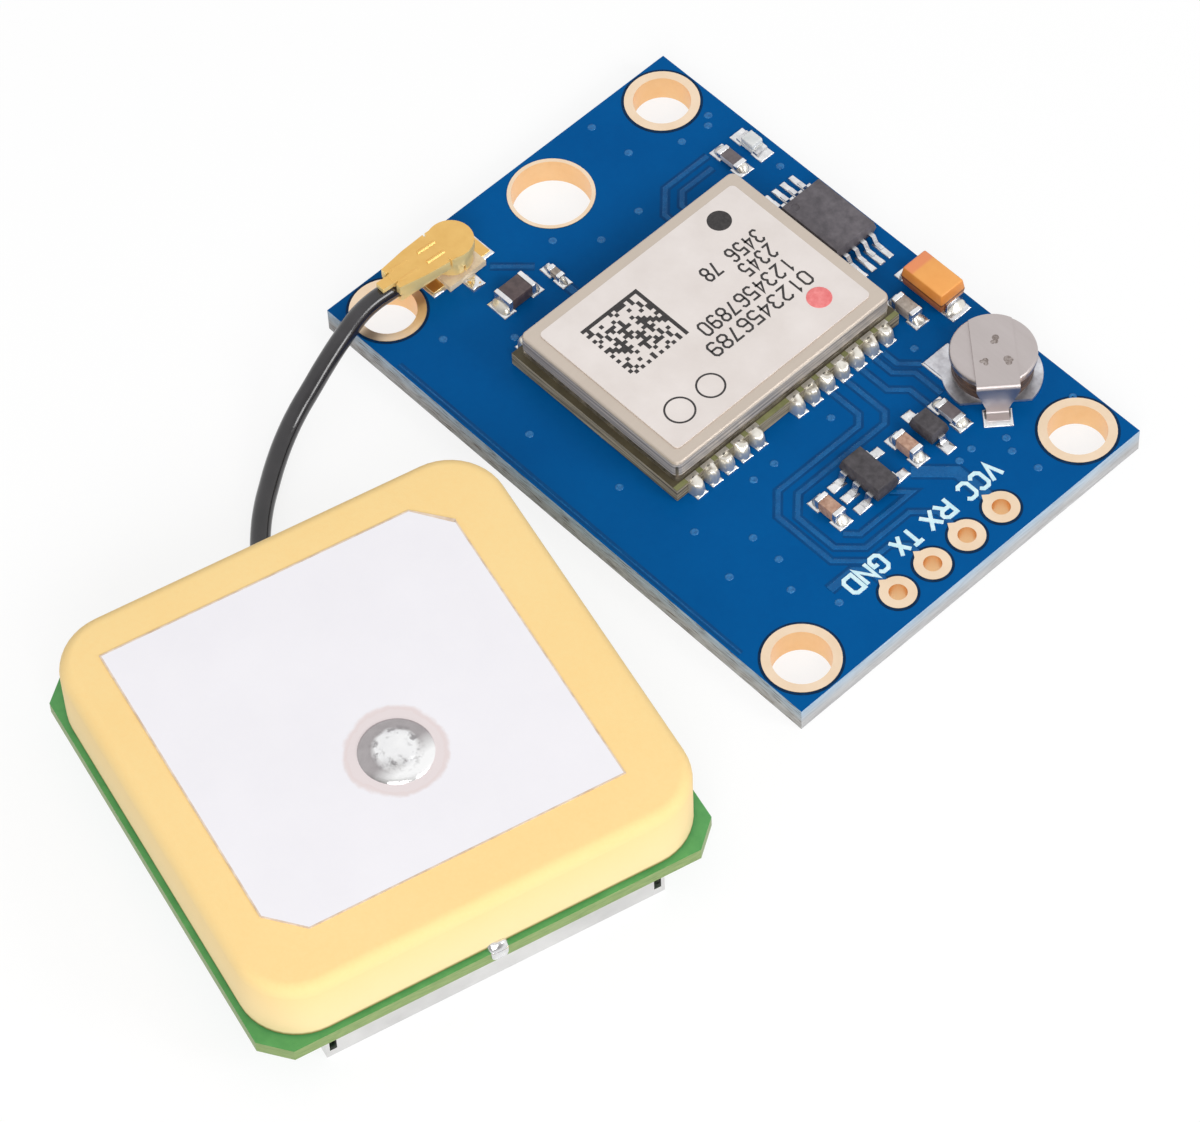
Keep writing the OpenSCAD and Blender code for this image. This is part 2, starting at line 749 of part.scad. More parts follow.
module cell_lands() {
    rotate(strap_turn)
        translate([leg_s - 0.15, -strap_foot_w / 2 - 0.2, 0])
            cube([strap_foot_l + 0.6, strap_foot_w + 0.4, land_t]);
    translate([-cell_plate_d / 2 - 0.4, -cell_plate_d / 2 + 0.5, 0])
        cube([cell_tab_w + 0.3, cell_tab_w + 0.1, land_t]);
}

module socket_lands() {
    reach = socket_base_w / 2 + socket_foot_reach;
    for (side = [-1, 1])
        translate([0, side * (reach - 0.4), land_t / 2])
            cube([2, 1.1, land_t], center = true);
    translate([reach - 0.4, 0, land_t / 2])
        cube([1.1, 0.9, land_t], center = true);
}

module solder_fillets() {
    color([0.82, 0.82, 0.82]) {
        for (place = chips)
            chip_fillets(place);
        for (turn = [0, 180], y = terminal_ys)
            translate([receiver_x, receiver_mid + y, seat_z])
                rotate(turn)
                    translate([receiver_w / 2, 0, 0])
                        fillet(terminal_w - 0.1, fillet_leg);
        for (turn = [0, 180])
            translate([corner_x, tantalum_y, seat_z])
                rotate(turn)
                    translate([tantalum_l / 2, 0, 0])
                        fillet(tantalum_terminal_w - 0.1, fillet_leg);
    }
}

// Receiver

module receiver_board() {
    color([0.35, 0.42, 0.25])
        difference() {
            translate([receiver_x - receiver_w / 2, receiver_mid - receiver_l / 2, seat_z])
                cube([receiver_w, receiver_l, receiver_board_t]);
            for (side = [-1, 1], y = terminal_ys)
                translate([receiver_x + side * receiver_w / 2, receiver_mid + y, seat_z - over])
                    cylinder(r = terminal_notch_r, h = receiver_board_t + 2 * over);
        }
}

// Plated half-holes in the carrier's long edges, each with a pad on the carrier's top
module receiver_terminals() {
    color([0.85, 0.8, 0.68])
        for (turn = [0, 180], y = terminal_ys)
            translate([receiver_x, receiver_mid + y, seat_z])
                rotate(turn)
                    translate([receiver_w / 2, 0, 0])
                        edge_terminal();
}

module edge_terminal() {
    difference() {
        union() {
            cylinder(r = terminal_notch_r, h = receiver_board_t);
            translate([-terminal_pad_l, -terminal_w / 2, receiver_board_t])
                cube([terminal_pad_l, terminal_w, land_t]);
        }
        translate([0, 0, -over])
            cylinder(r = terminal_notch_r - plating_t, h = receiver_board_t + 4 * over);
        translate([0, -terminal_w, -over])
            cube([terminal_w, 2 * terminal_w, receiver_board_t + 4 * over]);
    }
}

// Folded fence soldered round the carrier's top, with a foot that shows under the lid's skirt
module receiver_fence() {
    foot = 2 * fence_foot_reach;
    sheet = 2 * shield_sheet_t;
    color([0.72, 0.69, 0.64])
        translate([receiver_x, receiver_mid, carrier_top])
            difference() {
                union() {
                    linear_extrude(fence_foot_h)
                        round_rectangle(shield_w - 0.4 + foot, shield_l - 0.4 + foot, fence_corner_r);
                    linear_extrude(lid_top - shield_sheet_t - carrier_top)
                        round_rectangle(fence_w, fence_l, fence_corner_r);
                }
                translate([0, 0, -over])
                    linear_extrude(receiver_h)
                        round_rectangle(fence_w - sheet, fence_l - sheet, fence_corner_r - 0.15);
            }
}

// Pressed lid with slit corners, pushed down over the fence
module receiver_lid() {
    color([0.78, 0.75, 0.7])
        translate([receiver_x, receiver_mid, lid_top - lid_skirt_h])
            difference() {
                soft_block(shield_w, shield_l, lid_skirt_h, lid_corner_r, lid_edge_r);
                translate([0, 0, -over])
                    linear_extrude(lid_skirt_h - shield_sheet_t + over)
                        round_rectangle(fence_w, fence_l, fence_corner_r);
                for (x = [-1, 1], y = [-1, 1])
                    translate([x * (shield_w - lid_corner_r) / 2, y * (shield_l - lid_corner_r) / 2, 0])
                        rotate(x * y * 45)
                            translate([-lid_corner_r, -lid_slit_w / 2, -over])
                                cube([2 * lid_corner_r, lid_slit_w, lid_skirt_h - lid_edge_r]);
            }
}

module receiver_label() {
    color([0.9, 0.87, 0.83])
        translate([receiver_x, receiver_mid, lid_top])
            linear_extrude(label_t)
                round_rectangle(shield_w - 2 * label_margin, shield_l - 2 * label_margin, 0.3);
}

// Places children on the carrier inside the shield
module on_carrier(x, y) {
    translate([receiver_x + x, receiver_mid + y, carrier_top])
        children();
}

module flat_chip(l, w, h) {
    translate([0, 0, h / 2])
        cube([l, w, h], center = true);
}

module receiver_main_chip() {
    color([0.15, 0.15, 0.16])
        on_carrier(0, main_chip_shift)
            difference() {
                flat_chip(main_chip_w, main_chip_w, main_chip_h);
                translate([-main_chip_w / 2 + 0.7, main_chip_w / 2 - 0.7, main_chip_h - 0.05])
                    cylinder(d = 0.5, h = 1);
            }
}

module receiver_oscillator() {
    color([0.75, 0.7, 0.6])
        on_carrier(-inner_step_x, -inner_row_y)
            flat_chip(oscillator_l, oscillator_w, oscillator_h);
}

module receiver_crystal() {
    color([0.72, 0.72, 0.74])
        on_carrier(inner_step_x, -inner_row_y)
            flat_chip(crystal_l, crystal_w, crystal_h);
}

module receiver_filter() {
    color([0.85, 0.8, 0.7])
        on_carrier(-inner_step_x, -inner_row_y - oscillator_w / 2 - inner_clearance - filter_w / 2)
            flat_chip(filter_w, filter_w, filter_h);
}

module receiver_small_chips() {
    color([0.6, 0.45, 0.32])
        for (i = [-2 : 2])
            on_carrier(i * inner_chip_pitch, inner_chip_y)
                flat_chip(small_chip_w, small_chip_l, small_chip_h);
}

// Memory chip behind the receiver

module memory_body() {
    color([0.3, 0.29, 0.3])
        translate([memory_x, memory_y, seat_z])
            difference() {
                moulded_body(memory_body_l, memory_body_w, 0.1, memory_h, 0.1);
                translate([-memory_body_l / 2 + 0.6, -memory_body_w / 2 + 0.6, memory_h - 0.05])
                    cylinder(d = 0.5, h = 1);
            }
}

module memory_leads() {
    color([0.8, 0.8, 0.8])
        translate([memory_x, memory_y, seat_z])
            for (turn = [0, 180], i = [-1.5 : 1.5])
                rotate(turn)
                    translate([memory_body_l / 2, i * memory_pitch, 0])
                        gull_lead((memory_span - memory_body_l) / 2, memory_h / 2 + 0.05, memory_lead_w);
}

// Tantalum capacitor

module tantalum_body() {
    t = 0.12;
    color([0.93, 0.6, 0.25])
        translate([corner_x, tantalum_y, seat_z])
            moulded_body(tantalum_l - 2 * t, tantalum_w, t, tantalum_h, 0.1);
}

// Strips that come out at the parting line and fold down and in under the body
module tantalum_terminals() {
    t = 0.12;
    rise = (tantalum_h + t) / 2;
    end = tantalum_l / 2;
    under = end - 0.8;
    color([0.82, 0.82, 0.82])
        translate([corner_x, tantalum_y, seat_z])
            for (turn = [0, 180])
                rotate(turn)
                    rotate([90, 0, 0])
                        linear_extrude(tantalum_terminal_w, center = true)
                            polygon([
                                [under, 0], [end, 0], [end, rise], [end - t, rise], [end - t, t], [under, t]
                            ]);
}

// Power column

module regulator_body() {
    color([0.16, 0.16, 0.17])
        translate([column_x, regulator_mid, seat_z])
            moulded_body(regulator_l, regulator_w, 0.1, regulator_h, 0.12);
}

module regulator_leads() {
    color([0.8, 0.8, 0.8])
        translate([column_x, regulator_mid, seat_z])
            for (place = regulator_lead_places)
                translate([place[0] * regulator_pitch, place[1] * regulator_w / 2, 0])
                    rotate(place[1] * 90)
                        gull_lead((regulator_span - regulator_w) / 2, regulator_h / 2 + 0.05, power_lead_w);
}

module diode_body() {
    color([0.12, 0.12, 0.13])
        translate([column_x, diode_y, seat_z])
            moulded_body(diode_l, diode_w, 0.1, diode_h, 0.12);
}

module diode_leads() {
    color([0.8, 0.8, 0.8])
        translate([column_x, diode_y, seat_z])
            for (turn = [0, 180])
                rotate(turn)
                    translate([diode_l / 2, 0, 0])
                        gull_lead((diode_span - diode_l) / 2, diode_h / 2 + 0.05, power_lead_w);
}

// Chip parts

module corner_capacitor() {
    color([0.72, 0.58, 0.45])
        chip_core(corner_capacitor_place);
}

module output_capacitor() {
    color([0.72, 0.58, 0.45])
        chip_core(output_capacitor_place);
}

module input_capacitor() {
    color([0.68, 0.5, 0.42])
        chip_core(input_capacitor_place);
}

module lamp_resistor() {
    color([0.75, 0.75, 0.78])
        chip_core(lamp_resistor_place);
}

module charge_resistor() {
    color([0.72, 0.72, 0.76])
        chip_core(charge_resistor_place);
}

module bias_inductor() {
    color([0.3, 0.27, 0.33])
        chip_core(bias_inductor_place);
}

module radio_capacitor() {
    color([0.62, 0.58, 0.66])
        chip_core(radio_capacitor_place);
}

module chip_end_caps() {
    color([0.82, 0.82, 0.83])
        for (place = chips)
            chip_caps(place);
}

// Indicator lamp: a flat base with wrapped ends and a smaller clear lens on it

module lamp_base() {
    color([0.92, 0.92, 0.88])
        at_chip(lamp_place)
            translate([0, 0, lamp_base_t / 2])
                cube([chip_l - 2 * chip_cap_l, chip_w, lamp_base_t], center = true);
}

module lamp_lens() {
    color([0.9, 0.95, 0.95, 0.7])
        at_chip(lamp_place)
            rotate([90, 0, 0])
                linear_extrude(chip_w, center = true)
                    polygon([
                        [-chip_l / 2 + chip_cap_l, lamp_base_t], [chip_l / 2 - chip_cap_l, lamp_base_t],
                        [chip_l / 2 - chip_cap_l - 0.06, lamp_h], [-chip_l / 2 + chip_cap_l + 0.06, lamp_h]
                    ]);
}

module lamp_terminals() {
    color([0.85, 0.8, 0.65])
        at_chip(lamp_place)
            for (side = [-1, 1])
                translate([side * (chip_l - chip_cap_l) / 2, 0, lamp_base_t / 2])
                    cube([chip_cap_l, chip_w, lamp_base_t], center = true);
}

// Backup cell

// Welded bottom plate with a square tab, cut straight where the strap comes down
module cell_plate() {
    color([0.8, 0.79, 0.77])
        at_cell()
            linear_extrude(cell_strip_t)
                difference() {
                    union() {
                        circle(d = cell_plate_d);
                        translate([-cell_plate_d / 2 - 0.3, -cell_plate_d / 2 + 0.6])
                            square(cell_tab_w);
                    }
                    rotate(strap_turn)
                        translate([plate_chord_s, -cell_plate_d])
                            square(2 * cell_plate_d);
                }
}

module cell_can() {
    color([0.78, 0.77, 0.75])
        at_cell()
            translate([0, 0, cell_strip_t])
                cylinder(d = cell_can_d, h = cell_can_h);
}

// Ribbed insulating ring between can and cap
module cell_gasket() {
    low = cell_strip_t + cell_can_h;
    high = cell_h - cell_cap_t;
    ribs = 4;
    rib = (high - low) / ribs;
    r = cell_gasket_d / 2;
    color([0.25, 0.17, 0.12])
        at_cell()
            rotate_extrude()
                polygon(concat(
                    [[0, low]],
                    [for (i = [0 : ribs - 1], step = [[0.06, 0], [0, 0.25], [0, 0.75], [0.06, 1]])
                        [r - step[0], low + rib * (i + step[1])]],
                    [[0, high]]));
}

// Cap with a rounded rim
module cell_cap() {
    r = 0.2;
    color([0.76, 0.74, 0.72])
        at_cell()
            translate([0, 0, cell_h - cell_cap_t])
                rotate_extrude() {
                    square([cell_d / 2, cell_cap_t - r]);
                    square([cell_d / 2 - r, cell_cap_t]);
                    translate([cell_d / 2 - r, cell_cap_t - r])
                        circle(r);
                }
}

// Strap welded over the cap, bent down beside the cell and out to a narrow foot
module cell_strap() {
    t = cell_strip_t;
    r = strap_bend_r;
    outer = leg_s + t;
    color([0.8, 0.79, 0.77])
        at_cell()
            rotate(strap_turn)
                intersection() {
                    rotate([90, 0, 0])
                        linear_extrude(strap_w, center = true) {
                            translate([-cell_d / 2, cell_h])
                                square([cell_d / 2 + outer - r, t]);
                            translate([leg_s, r])
                                square([t, strap_top - 2 * r]);
                            translate([outer + r - t, 0])
                                square([strap_foot_l + t - r, t]);
                            translate([outer - r, strap_top - r])
                                quarter_bend(r, t, 0);
                            translate([leg_s + r, r])
                                quarter_bend(r, t, 180);
                        }
                    rotate([90, 0, 90])
                        linear_extrude(4 * cell_d, center = true)
                            polygon([
                                [-strap_w / 2, strap_top + over], [-strap_w / 2, strap_top - 3 * t],
                                [-strap_foot_w / 2, 3 * t], [-strap_foot_w / 2, -over],
                                [strap_foot_w / 2, -over], [strap_foot_w / 2, 3 * t],
                                [strap_w / 2, strap_top - 3 * t], [strap_w / 2, strap_top + over]
                            ]);
                    union() {
                        translate([0, 0, -over])
                            cylinder(d = cell_d - 0.3, h = strap_top + 2 * over);
                        translate([0, -strap_w, -over])
                            cube([2 * cell_d, 2 * strap_w, strap_top + 2 * over]);
                    }
                }
}

// Quarter ring of a bent strip, centred on the bend
module quarter_bend(r, t, turn) {
    rotate(turn)
        intersection() {
            difference() {
                circle(r);
                circle(r - t);
            }
            square(2 * r);
        }
}

// Antenna socket

// Ring contact with a flat foot on each side, open at the bottom where the centre pin's foot goes out
module socket_ring_shape() {
    t = socket_ring_t;
    reach = socket_base_w / 2 + socket_foot_reach;
    difference() {
        union() {
            cylinder(d = socket_ring_d, h = socket_ring_h);
            for (side = [-1, 1])
                translate([0, side * (reach + socket_ring_d / 2 - t) / 2, t / 2])
                    cube([1.6, reach - socket_ring_d / 2 + t, t], center = true);
        }
        translate([0, 0, -over])
            cylinder(d = socket_ring_d - 2 * t, h = socket_ring_h + 2 * over);
        translate([0, -0.45, -over])
            cube([socket_ring_d, 0.9, socket_base_t - 0.05 + over]);
    }
}

module socket_pin_shape() {
    reach = socket_base_w / 2 + socket_foot_reach;
    cylinder(d = socket_pin_d, h = socket_ring_h - 0.2);
    translate([0, -socket_pin_d / 2, 0])
        cube([reach, socket_pin_d, socket_ring_t]);
}

module socket_ring() {
    color([0.85, 0.68, 0.35])
        at_socket()
            socket_ring_shape();
}

module socket_pin() {
    color([0.88, 0.72, 0.4])
        at_socket()
            socket_pin_shape();
}

module socket_base() {
    color([0.85, 0.78, 0.66])
        at_socket()
            difference() {
                translate([0, 0, socket_base_t / 2])
                    cube([socket_base_w, socket_base_w, socket_base_t], center = true);
                socket_ring_shape();
                socket_pin_shape();
            }
}

// Antenna plug

// Flat sheet with folded sides, from the cap to the end of the crimp
module plug_sheet() {
    cap_w = plug_d / 2 - 0.1;
    end_w = plug_crimp_d / 2 - 0.02;
    middle_w = (cap_w + end_w) / 2 + 0.06;
    middle_y = (plug_slit_y - plug_l) / 2;
    difference() {
        union() {
            circle(d = plug_d);
            polygon([
                [-cap_w, 0], [-cap_w, plug_slit_y], [-middle_w, middle_y], [-end_w, -plug_l],
                [end_w, -plug_l], [middle_w, middle_y], [cap_w, plug_slit_y], [cap_w, 0]
            ]);
        }
        for (side = [-1, 1])
            translate([side * plug_d / 2, plug_slit_y])
                square([0.6, plug_slit_w], center = true);
        for (side = [-1, 1])
            translate([side * (plug_tongue_w / 2 + 0.09), -plug_l])
                square([0.18, 0.4], center = true);
    }
}

// Stamped cap on a skirt that grips the ring, with a tail closed round the cable
module plug_shell() {
    neck_l = 2.7;
    tongue_z = cable_z + cable_d / 2 + 0.03;
    color([0.92, 0.74, 0.42])
        at_plug()
            difference() {
                union() {
                    translate([0, 0, plug_rim_z])
                        cylinder(d = plug_skirt_d, h = plug_cap_z - plug_rim_z + over);
                    translate([0, 0, plug_cap_z])
                        linear_extrude(plug_cap_h)
                            plug_sheet();
                    translate([-0.65, -neck_l, plug_rim_z + 0.15])
                        cube([1.3, neck_l, plug_cap_z - plug_rim_z]);
                    translate([0, plug_neck_y, cable_z])
                        rotate([90, 0, 0])
                            cylinder(d = plug_crimp_d, h = plug_l + plug_neck_y - 0.2);
                    translate([-plug_tongue_w / 2, -plug_l - plug_tongue_l, tongue_z])
                        cube([plug_tongue_w, plug_tongue_l + 0.4, plug_h - 0.05 - tongue_z]);
                }
                translate([0, 0, plug_rim_z - over])
                    cylinder(d = plug_bore_d, h = plug_h - plug_roof_t - plug_rim_z + over);
                translate([0, -plug_l + cable_grip_l, cable_z])
                    rotate([90, 0, 0])
                        cylinder(d = cable_d + 0.06, h = 2 * cable_grip_l);
                for (side = [-1, 1])
                    translate([side * plug_skirt_d / 2, 0, plug_rim_z])
                        cube([0.6, plug_slit_w, plug_cap_z - plug_rim_z], center = true);
                translate([-0.05, -plug_l - over, 0])
                    cube([0.1, plug_l + plug_neck_y, cable_z]);
            }
}

module plug_insulator() {
    low = socket_ring_h + 0.05;
    color([0.92, 0.92, 0.9])
        at_socket()
            translate([0, 0, low])
                difference() {
                    cylinder(d = plug_bore_d, h = plug_h - plug_roof_t - low);
                    translate([0, 0, -over])
                        cylinder(d = socket_pin_d + 0.5, h = plug_h);
                }
}

// Sleeve that grips the socket's centre pin
module plug_contact() {
    low = socket_base_t + 0.1;
    color([0.88, 0.72, 0.4])
        at_socket()
            translate([0, 0, low])
                difference() {
                    cylinder(d = socket_pin_d + 0.5, h = plug_h - plug_roof_t - low);
                    translate([0, 0, -over])
                        cylinder(d = socket_pin_d + 0.04, h = socket_ring_h - low + over);
                }
}

// Cable: rings of eight points square to the route, joined by flat sides

function unit(v) = v / norm(v);

function route_way(i) = unit(
    cable_route[min(i + 1, len(cable_route) - 1)] - cable_route[max(i - 1, 0)]);

function route_ring(i, sides) =
    let (way = route_way(i), across = unit(cross(way, [0, 0, 1])), up = cross(across, way))
    [for (k = [0 : sides - 1])
        let (a = 360 * (k + 0.5) / sides)
        cable_route[i] + cable_d / 2 * (cos(a) * across + sin(a) * up)];

module antenna_cable() {
    sides = 8;
    last = len(cable_route) - 1;
    points = [for (i = [0 : last]) each route_ring(i, sides)];
    walls = [for (i = [0 : last - 1], k = [0 : sides - 1])
        let (a = i * sides, b = a + sides, next = (k + 1) % sides)
        [a + k, b + k, b + next, a + next]];
    ends = [[for (k = [0 : sides - 1]) k], [for (k = [sides - 1 : -1 : 0]) last * sides + k]];
    color([0.16, 0.16, 0.17])
        polyhedron(points, concat(walls, ends));
}

// Antenna

module antenna_ceramic() {
    color([0.97, 0.84, 0.57])
        at_antenna()
            translate([0, 0, ceramic_z])
                difference() {
                    soft_block(ceramic_w, ceramic_w, ceramic_t, ceramic_corner_r, ceramic_edge_r);
                    translate([feed_u, 0, -over])
                        cylinder(d = feed_pin_d + 0.2, h = ceramic_t + 2 * over);
                }
}

// Silver printed on the ceramic, cut at two opposite corners
module antenna_patch() {
    e = patch_w / 2;
    color([0.92, 0.92, 0.93])
        at_antenna()
            translate([0, 0, patch_z])
                linear_extrude(patch_t)
                    difference() {
                        translate([patch_shift_u, patch_shift_v])
                            polygon([
                                [-e, -e], [e - patch_cut, -e], [e, -e + patch_cut],
                                [e, e], [-e + patch_cut, e], [-e, e - patch_cut]
                            ]);
                        translate([feed_u, 0])
                            circle(d = feed_pin_d + 0.2);
                    }
}

// Headed pin pushed down through the ceramic and the green board
module antenna_feed_pin() {
    tail_z = can_h - feed_tail;
    color([0.85, 0.83, 0.8])
        at_antenna()
            translate([feed_u, 0, 0]) {
                translate([0, 0, tail_z])
                    cylinder(d = feed_pin_d, h = patch_z + patch_t - tail_z);
                translate([0, 0, patch_z + patch_t])
                    cylinder(d = feed_head_d, h = head_t);
            }
}

// Flat mound of solder round the pin's head
module antenna_feed_solder() {
    r = feed_solder_d / 2;
    head_r = feed_head_d / 2;
    dome = 0.35;
    steps = 8;
    color([0.86, 0.85, 0.84])
        at_antenna()
            translate([feed_u, 0, patch_z + patch_t])
                rotate_extrude()
                    polygon(concat(
                        [[0, head_t], [head_r, head_t], [head_r, 0], [r, 0]],
                        [for (i = [1 : steps])
                            [r * cos(90 * i / steps), head_t * i / steps + dome * sin(90 * i / steps)]]));
}

module antenna_tape() {
    margin = 0.6;
    tape_w = ceramic_w - 2 * margin;
    color([0.9, 0.88, 0.8])
        at_antenna()
            translate([0, 0, tape_z])
                linear_extrude(tape_t)
                    difference() {
                        round_rectangle(tape_w, tape_w, ceramic_corner_r - margin);
                        translate([feed_u, 0])
                            circle(d = feed_pin_d + 1);
                    }
}

module antenna_board() {
    color([0.35, 0.62, 0.38])
        at_antenna()
            translate([0, 0, can_h])
                linear_extrude(antenna_board_t)
                    difference() {
                        cut_square(antenna_board_w, antenna_board_cut);
                        translate([feed_u, 0])
                            circle(d = feed_pin_d + 0.1);
                    }
}

// Folded shield can, open at the top, with slit corners and a notch for the cable
module antenna_can() {
    t = can_sheet_t;
    color([0.75, 0.74, 0.7])
        at_antenna()
            difference() {
                translate([-can_l / 2, -can_w / 2, 0])
                    cube([can_l, can_w, can_h]);
                translate([-can_l / 2 + t, -can_w / 2 + t, t])
                    cube([can_l - 2 * t, can_w - 2 * t, can_h]);
                for (x = [-1, 1], y = [-1, 1])
                    translate([x * (can_l / 2), y * (can_w / 2 - t - can_slit_w / 2), can_h])
                        cube([4 * t, can_slit_w, 2 * (can_h - t - 0.3)], center = true);
                translate([-can_l / 2, can_notch_v, can_h])
                    cube([4 * t, can_notch_w, 2 * (can_h - t)], center = true);
            }
}

// Solder that holds the can's walls to the green board
module antenna_can_joints() {
    leg = 0.35;
    color([0.84, 0.84, 0.84])
        at_antenna()
            translate([0, 0, can_h])
                mirror([0, 0, 1]) {
                    translate([can_l / 2, 0, 0])
                        fillet(1.4, leg);
                    for (side = [-1, 1], u = [-6, 6])
                        translate([u, side * can_w / 2, 0])
                            rotate(side * 90)
                                fillet(1.4, leg);
                }
}

// Places children on the underside of the green board, inside the can, hanging down
module under_antenna_board(u, v) {
    at_antenna()
        translate([u, v, can_h])
            mirror([0, 0, 1])
                children();
}

module antenna_amplifier() {
    color([0.15, 0.15, 0.16])
        under_antenna_board(antenna_chip_step, antenna_row_step)
            flat_chip(amplifier_l, amplifier_w, amplifier_h);
}

module antenna_filter() {
    color([0.8, 0.78, 0.72])
        under_antenna_board(-antenna_chip_step, antenna_row_step)
            flat_chip(antenna_filter_w, antenna_filter_w, antenna_filter_h);
}

module antenna_small_chips() {
    color([0.65, 0.5, 0.38])
        for (u = [-2, 0, 2], v = [-1, 1.5])
            under_antenna_board(u * antenna_chip_step, v * antenna_row_step)
                flat_chip(small_chip_l, small_chip_w, small_chip_h);
}

// Solder that carries the cable's end under the green board
module antenna_cable_joint() {
    end = cable_route[len(cable_route) - 1];
    way = route_way(len(cable_route) - 1);
    color([0.84, 0.84, 0.84])
        translate([end[0], end[1], 0])
            rotate(atan2(way[1], way[0]))
                translate([0, -cable_d / 2, end[2] - cable_d / 2])
                    cube([1, cable_d, can_h - end[2] + cable_d / 2]);
}

circuit_board();
mounting_hole_rings();
large_hole_lining();
header_hole_rings();
solder_lands();
solder_fillets();
receiver_board();
receiver_terminals();
receiver_fence();
receiver_lid();
receiver_label();
receiver_main_chip();
receiver_oscillator();
receiver_crystal();
receiver_filter();
receiver_small_chips();
memory_body();
memory_leads();
tantalum_body();
tantalum_terminals();
regulator_body();
regulator_leads();
diode_body();
diode_leads();
corner_capacitor();
output_capacitor();
input_capacitor();
lamp_resistor();
charge_resistor();
bias_inductor();
radio_capacitor();
chip_end_caps();
lamp_base();
lamp_lens();
lamp_terminals();
cell_plate();
cell_can();
cell_gasket();
cell_cap();
cell_strap();
socket_base();
socket_ring();
socket_pin();
plug_shell();
plug_insulator();
plug_contact();
antenna_cable();
antenna_ceramic();
antenna_patch();
antenna_feed_pin();
antenna_feed_solder();
antenna_tape();
antenna_board();
antenna_can();
antenna_can_joints();
antenna_amplifier();
antenna_filter();
antenna_small_chips();
antenna_cable_joint();
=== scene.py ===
import math

import bmesh
import bpy
from mathutils import Matrix, Vector
from mathutils.geometry import convex_hull_2d


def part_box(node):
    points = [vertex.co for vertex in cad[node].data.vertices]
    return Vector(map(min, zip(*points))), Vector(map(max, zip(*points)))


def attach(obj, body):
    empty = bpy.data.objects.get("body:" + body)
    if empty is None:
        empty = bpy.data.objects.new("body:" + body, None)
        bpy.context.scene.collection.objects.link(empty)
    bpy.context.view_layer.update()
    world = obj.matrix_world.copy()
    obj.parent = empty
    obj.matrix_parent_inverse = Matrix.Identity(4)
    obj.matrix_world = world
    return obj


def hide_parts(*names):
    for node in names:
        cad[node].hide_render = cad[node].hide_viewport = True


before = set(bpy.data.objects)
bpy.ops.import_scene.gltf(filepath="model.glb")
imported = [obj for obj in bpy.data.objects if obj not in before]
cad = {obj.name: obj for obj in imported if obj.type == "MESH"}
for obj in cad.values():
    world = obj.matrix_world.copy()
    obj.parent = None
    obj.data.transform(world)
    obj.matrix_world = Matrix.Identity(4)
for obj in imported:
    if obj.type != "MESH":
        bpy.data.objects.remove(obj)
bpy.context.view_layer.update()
scene = bpy.context.scene
scene.view_settings.view_transform = "Standard"

# Camera. A long lens from above the header end's front corner, as in a catalogue picture.
# The module's long edges run away to the left, and the antenna lies nearest.
photo_camera = bpy.data.objects.new("photo_camera", bpy.data.cameras.new("photo_camera"))
photo_camera.data.sensor_fit = "HORIZONTAL"
photo_camera.data.sensor_width = 36
photo_camera.data.lens = 164.36
photo_camera.data.clip_start = 0.01
photo_camera.location = (0.12491, -0.11956, 0.23507)
photo_camera.rotation_euler = [math.radians(a) for a in (34.537, 1.588, 46.381)]
scene.collection.objects.link(photo_camera)
scene.camera = photo_camera


# Antenna cable. A thin coaxial lead with a smooth black jacket, held at one end by the plug's crimp.
# It drops off the board, rests on the table and goes in under the antenna's green board,
# where its end is soldered.
class Wire:
    """One output socket of a node tree. Sums and products of wires and numbers add Math nodes."""

    def __init__(self, tree, socket=None):
        self.tree = tree
        self.socket = socket

    def node(self, kind, settings, sockets, out=0):
        """Adds any other node: its settings first, then the values or links of its sockets."""
        made = self.tree.nodes.new("ShaderNode" + kind)
        for name, value in settings.items():
            setattr(made, name, value)
        for name, value in sockets.items():
            if isinstance(value, Wire):
                self.tree.links.new(value.socket, made.inputs[name])
            else:
                made.inputs[name].default_value = value
        return Wire(self.tree, made.outputs[out] if made.outputs else None)

    def math(self, operation, *values):
        return self.node("Math", {"operation": operation}, dict(enumerate(values)))

    def __add__(self, other):
        return self.math("ADD", self, other)

    __radd__ = __add__

    def __sub__(self, other):
        return self.math("SUBTRACT", self, other)

    def __rsub__(self, other):
        return self.math("SUBTRACT", other, self)

    def __mul__(self, other):
        return self.math("MULTIPLY", self, other)

    __rmul__ = __mul__

    def __gt__(self, limit):
        return self.math("GREATER_THAN", self, limit)

    def __lt__(self, limit):
        return self.math("LESS_THAN", self, limit)

    def __abs__(self):
        return self.math("ABSOLUTE", self)

    def mix(self, first, second):
        """The colour between two others, with this wire as the share of the second."""
        sockets = {0: self, 6: first, 7: second}
        return self.node("Mix", {"data_type": "RGBA"}, sockets, 2)

    def span(self, low, high):
        """This wire, from 0 to 1, laid out between two numbers."""
        return low + self * (high - low)

    def ramp(self, start, end):
        """0 where this wire is at start, 1 where it is at end, and in proportion between."""
        return self.node("MapRange", {}, {0: self, 1: start, 2: end})

    def axis(self, name):
        """One of the three parts of a place or a direction."""
        return self.node("SeparateXYZ", {}, {0: self}, name)

    def stretched(self, factors):
        """Places multiplied by a factor for each axis."""
        return self.node("VectorMath", {"operation": "MULTIPLY"}, {0: self, 1: factors})

    def distance(self, point):
        """How far places lie from one point."""
        return self.node("VectorMath", {"operation": "DISTANCE"}, {0: self, 1: point}, "Value")

    def noise(self, size, detail=4.0):
        """A value that wanders about 0.5 from place to place, in patches about size millimetres across."""
        sockets = {"Vector": self, "Scale": 1 / (size * MM), "Detail": detail, "Roughness": 0.6}
        return self.node("TexNoise", {}, sockets)


MM = 0.001


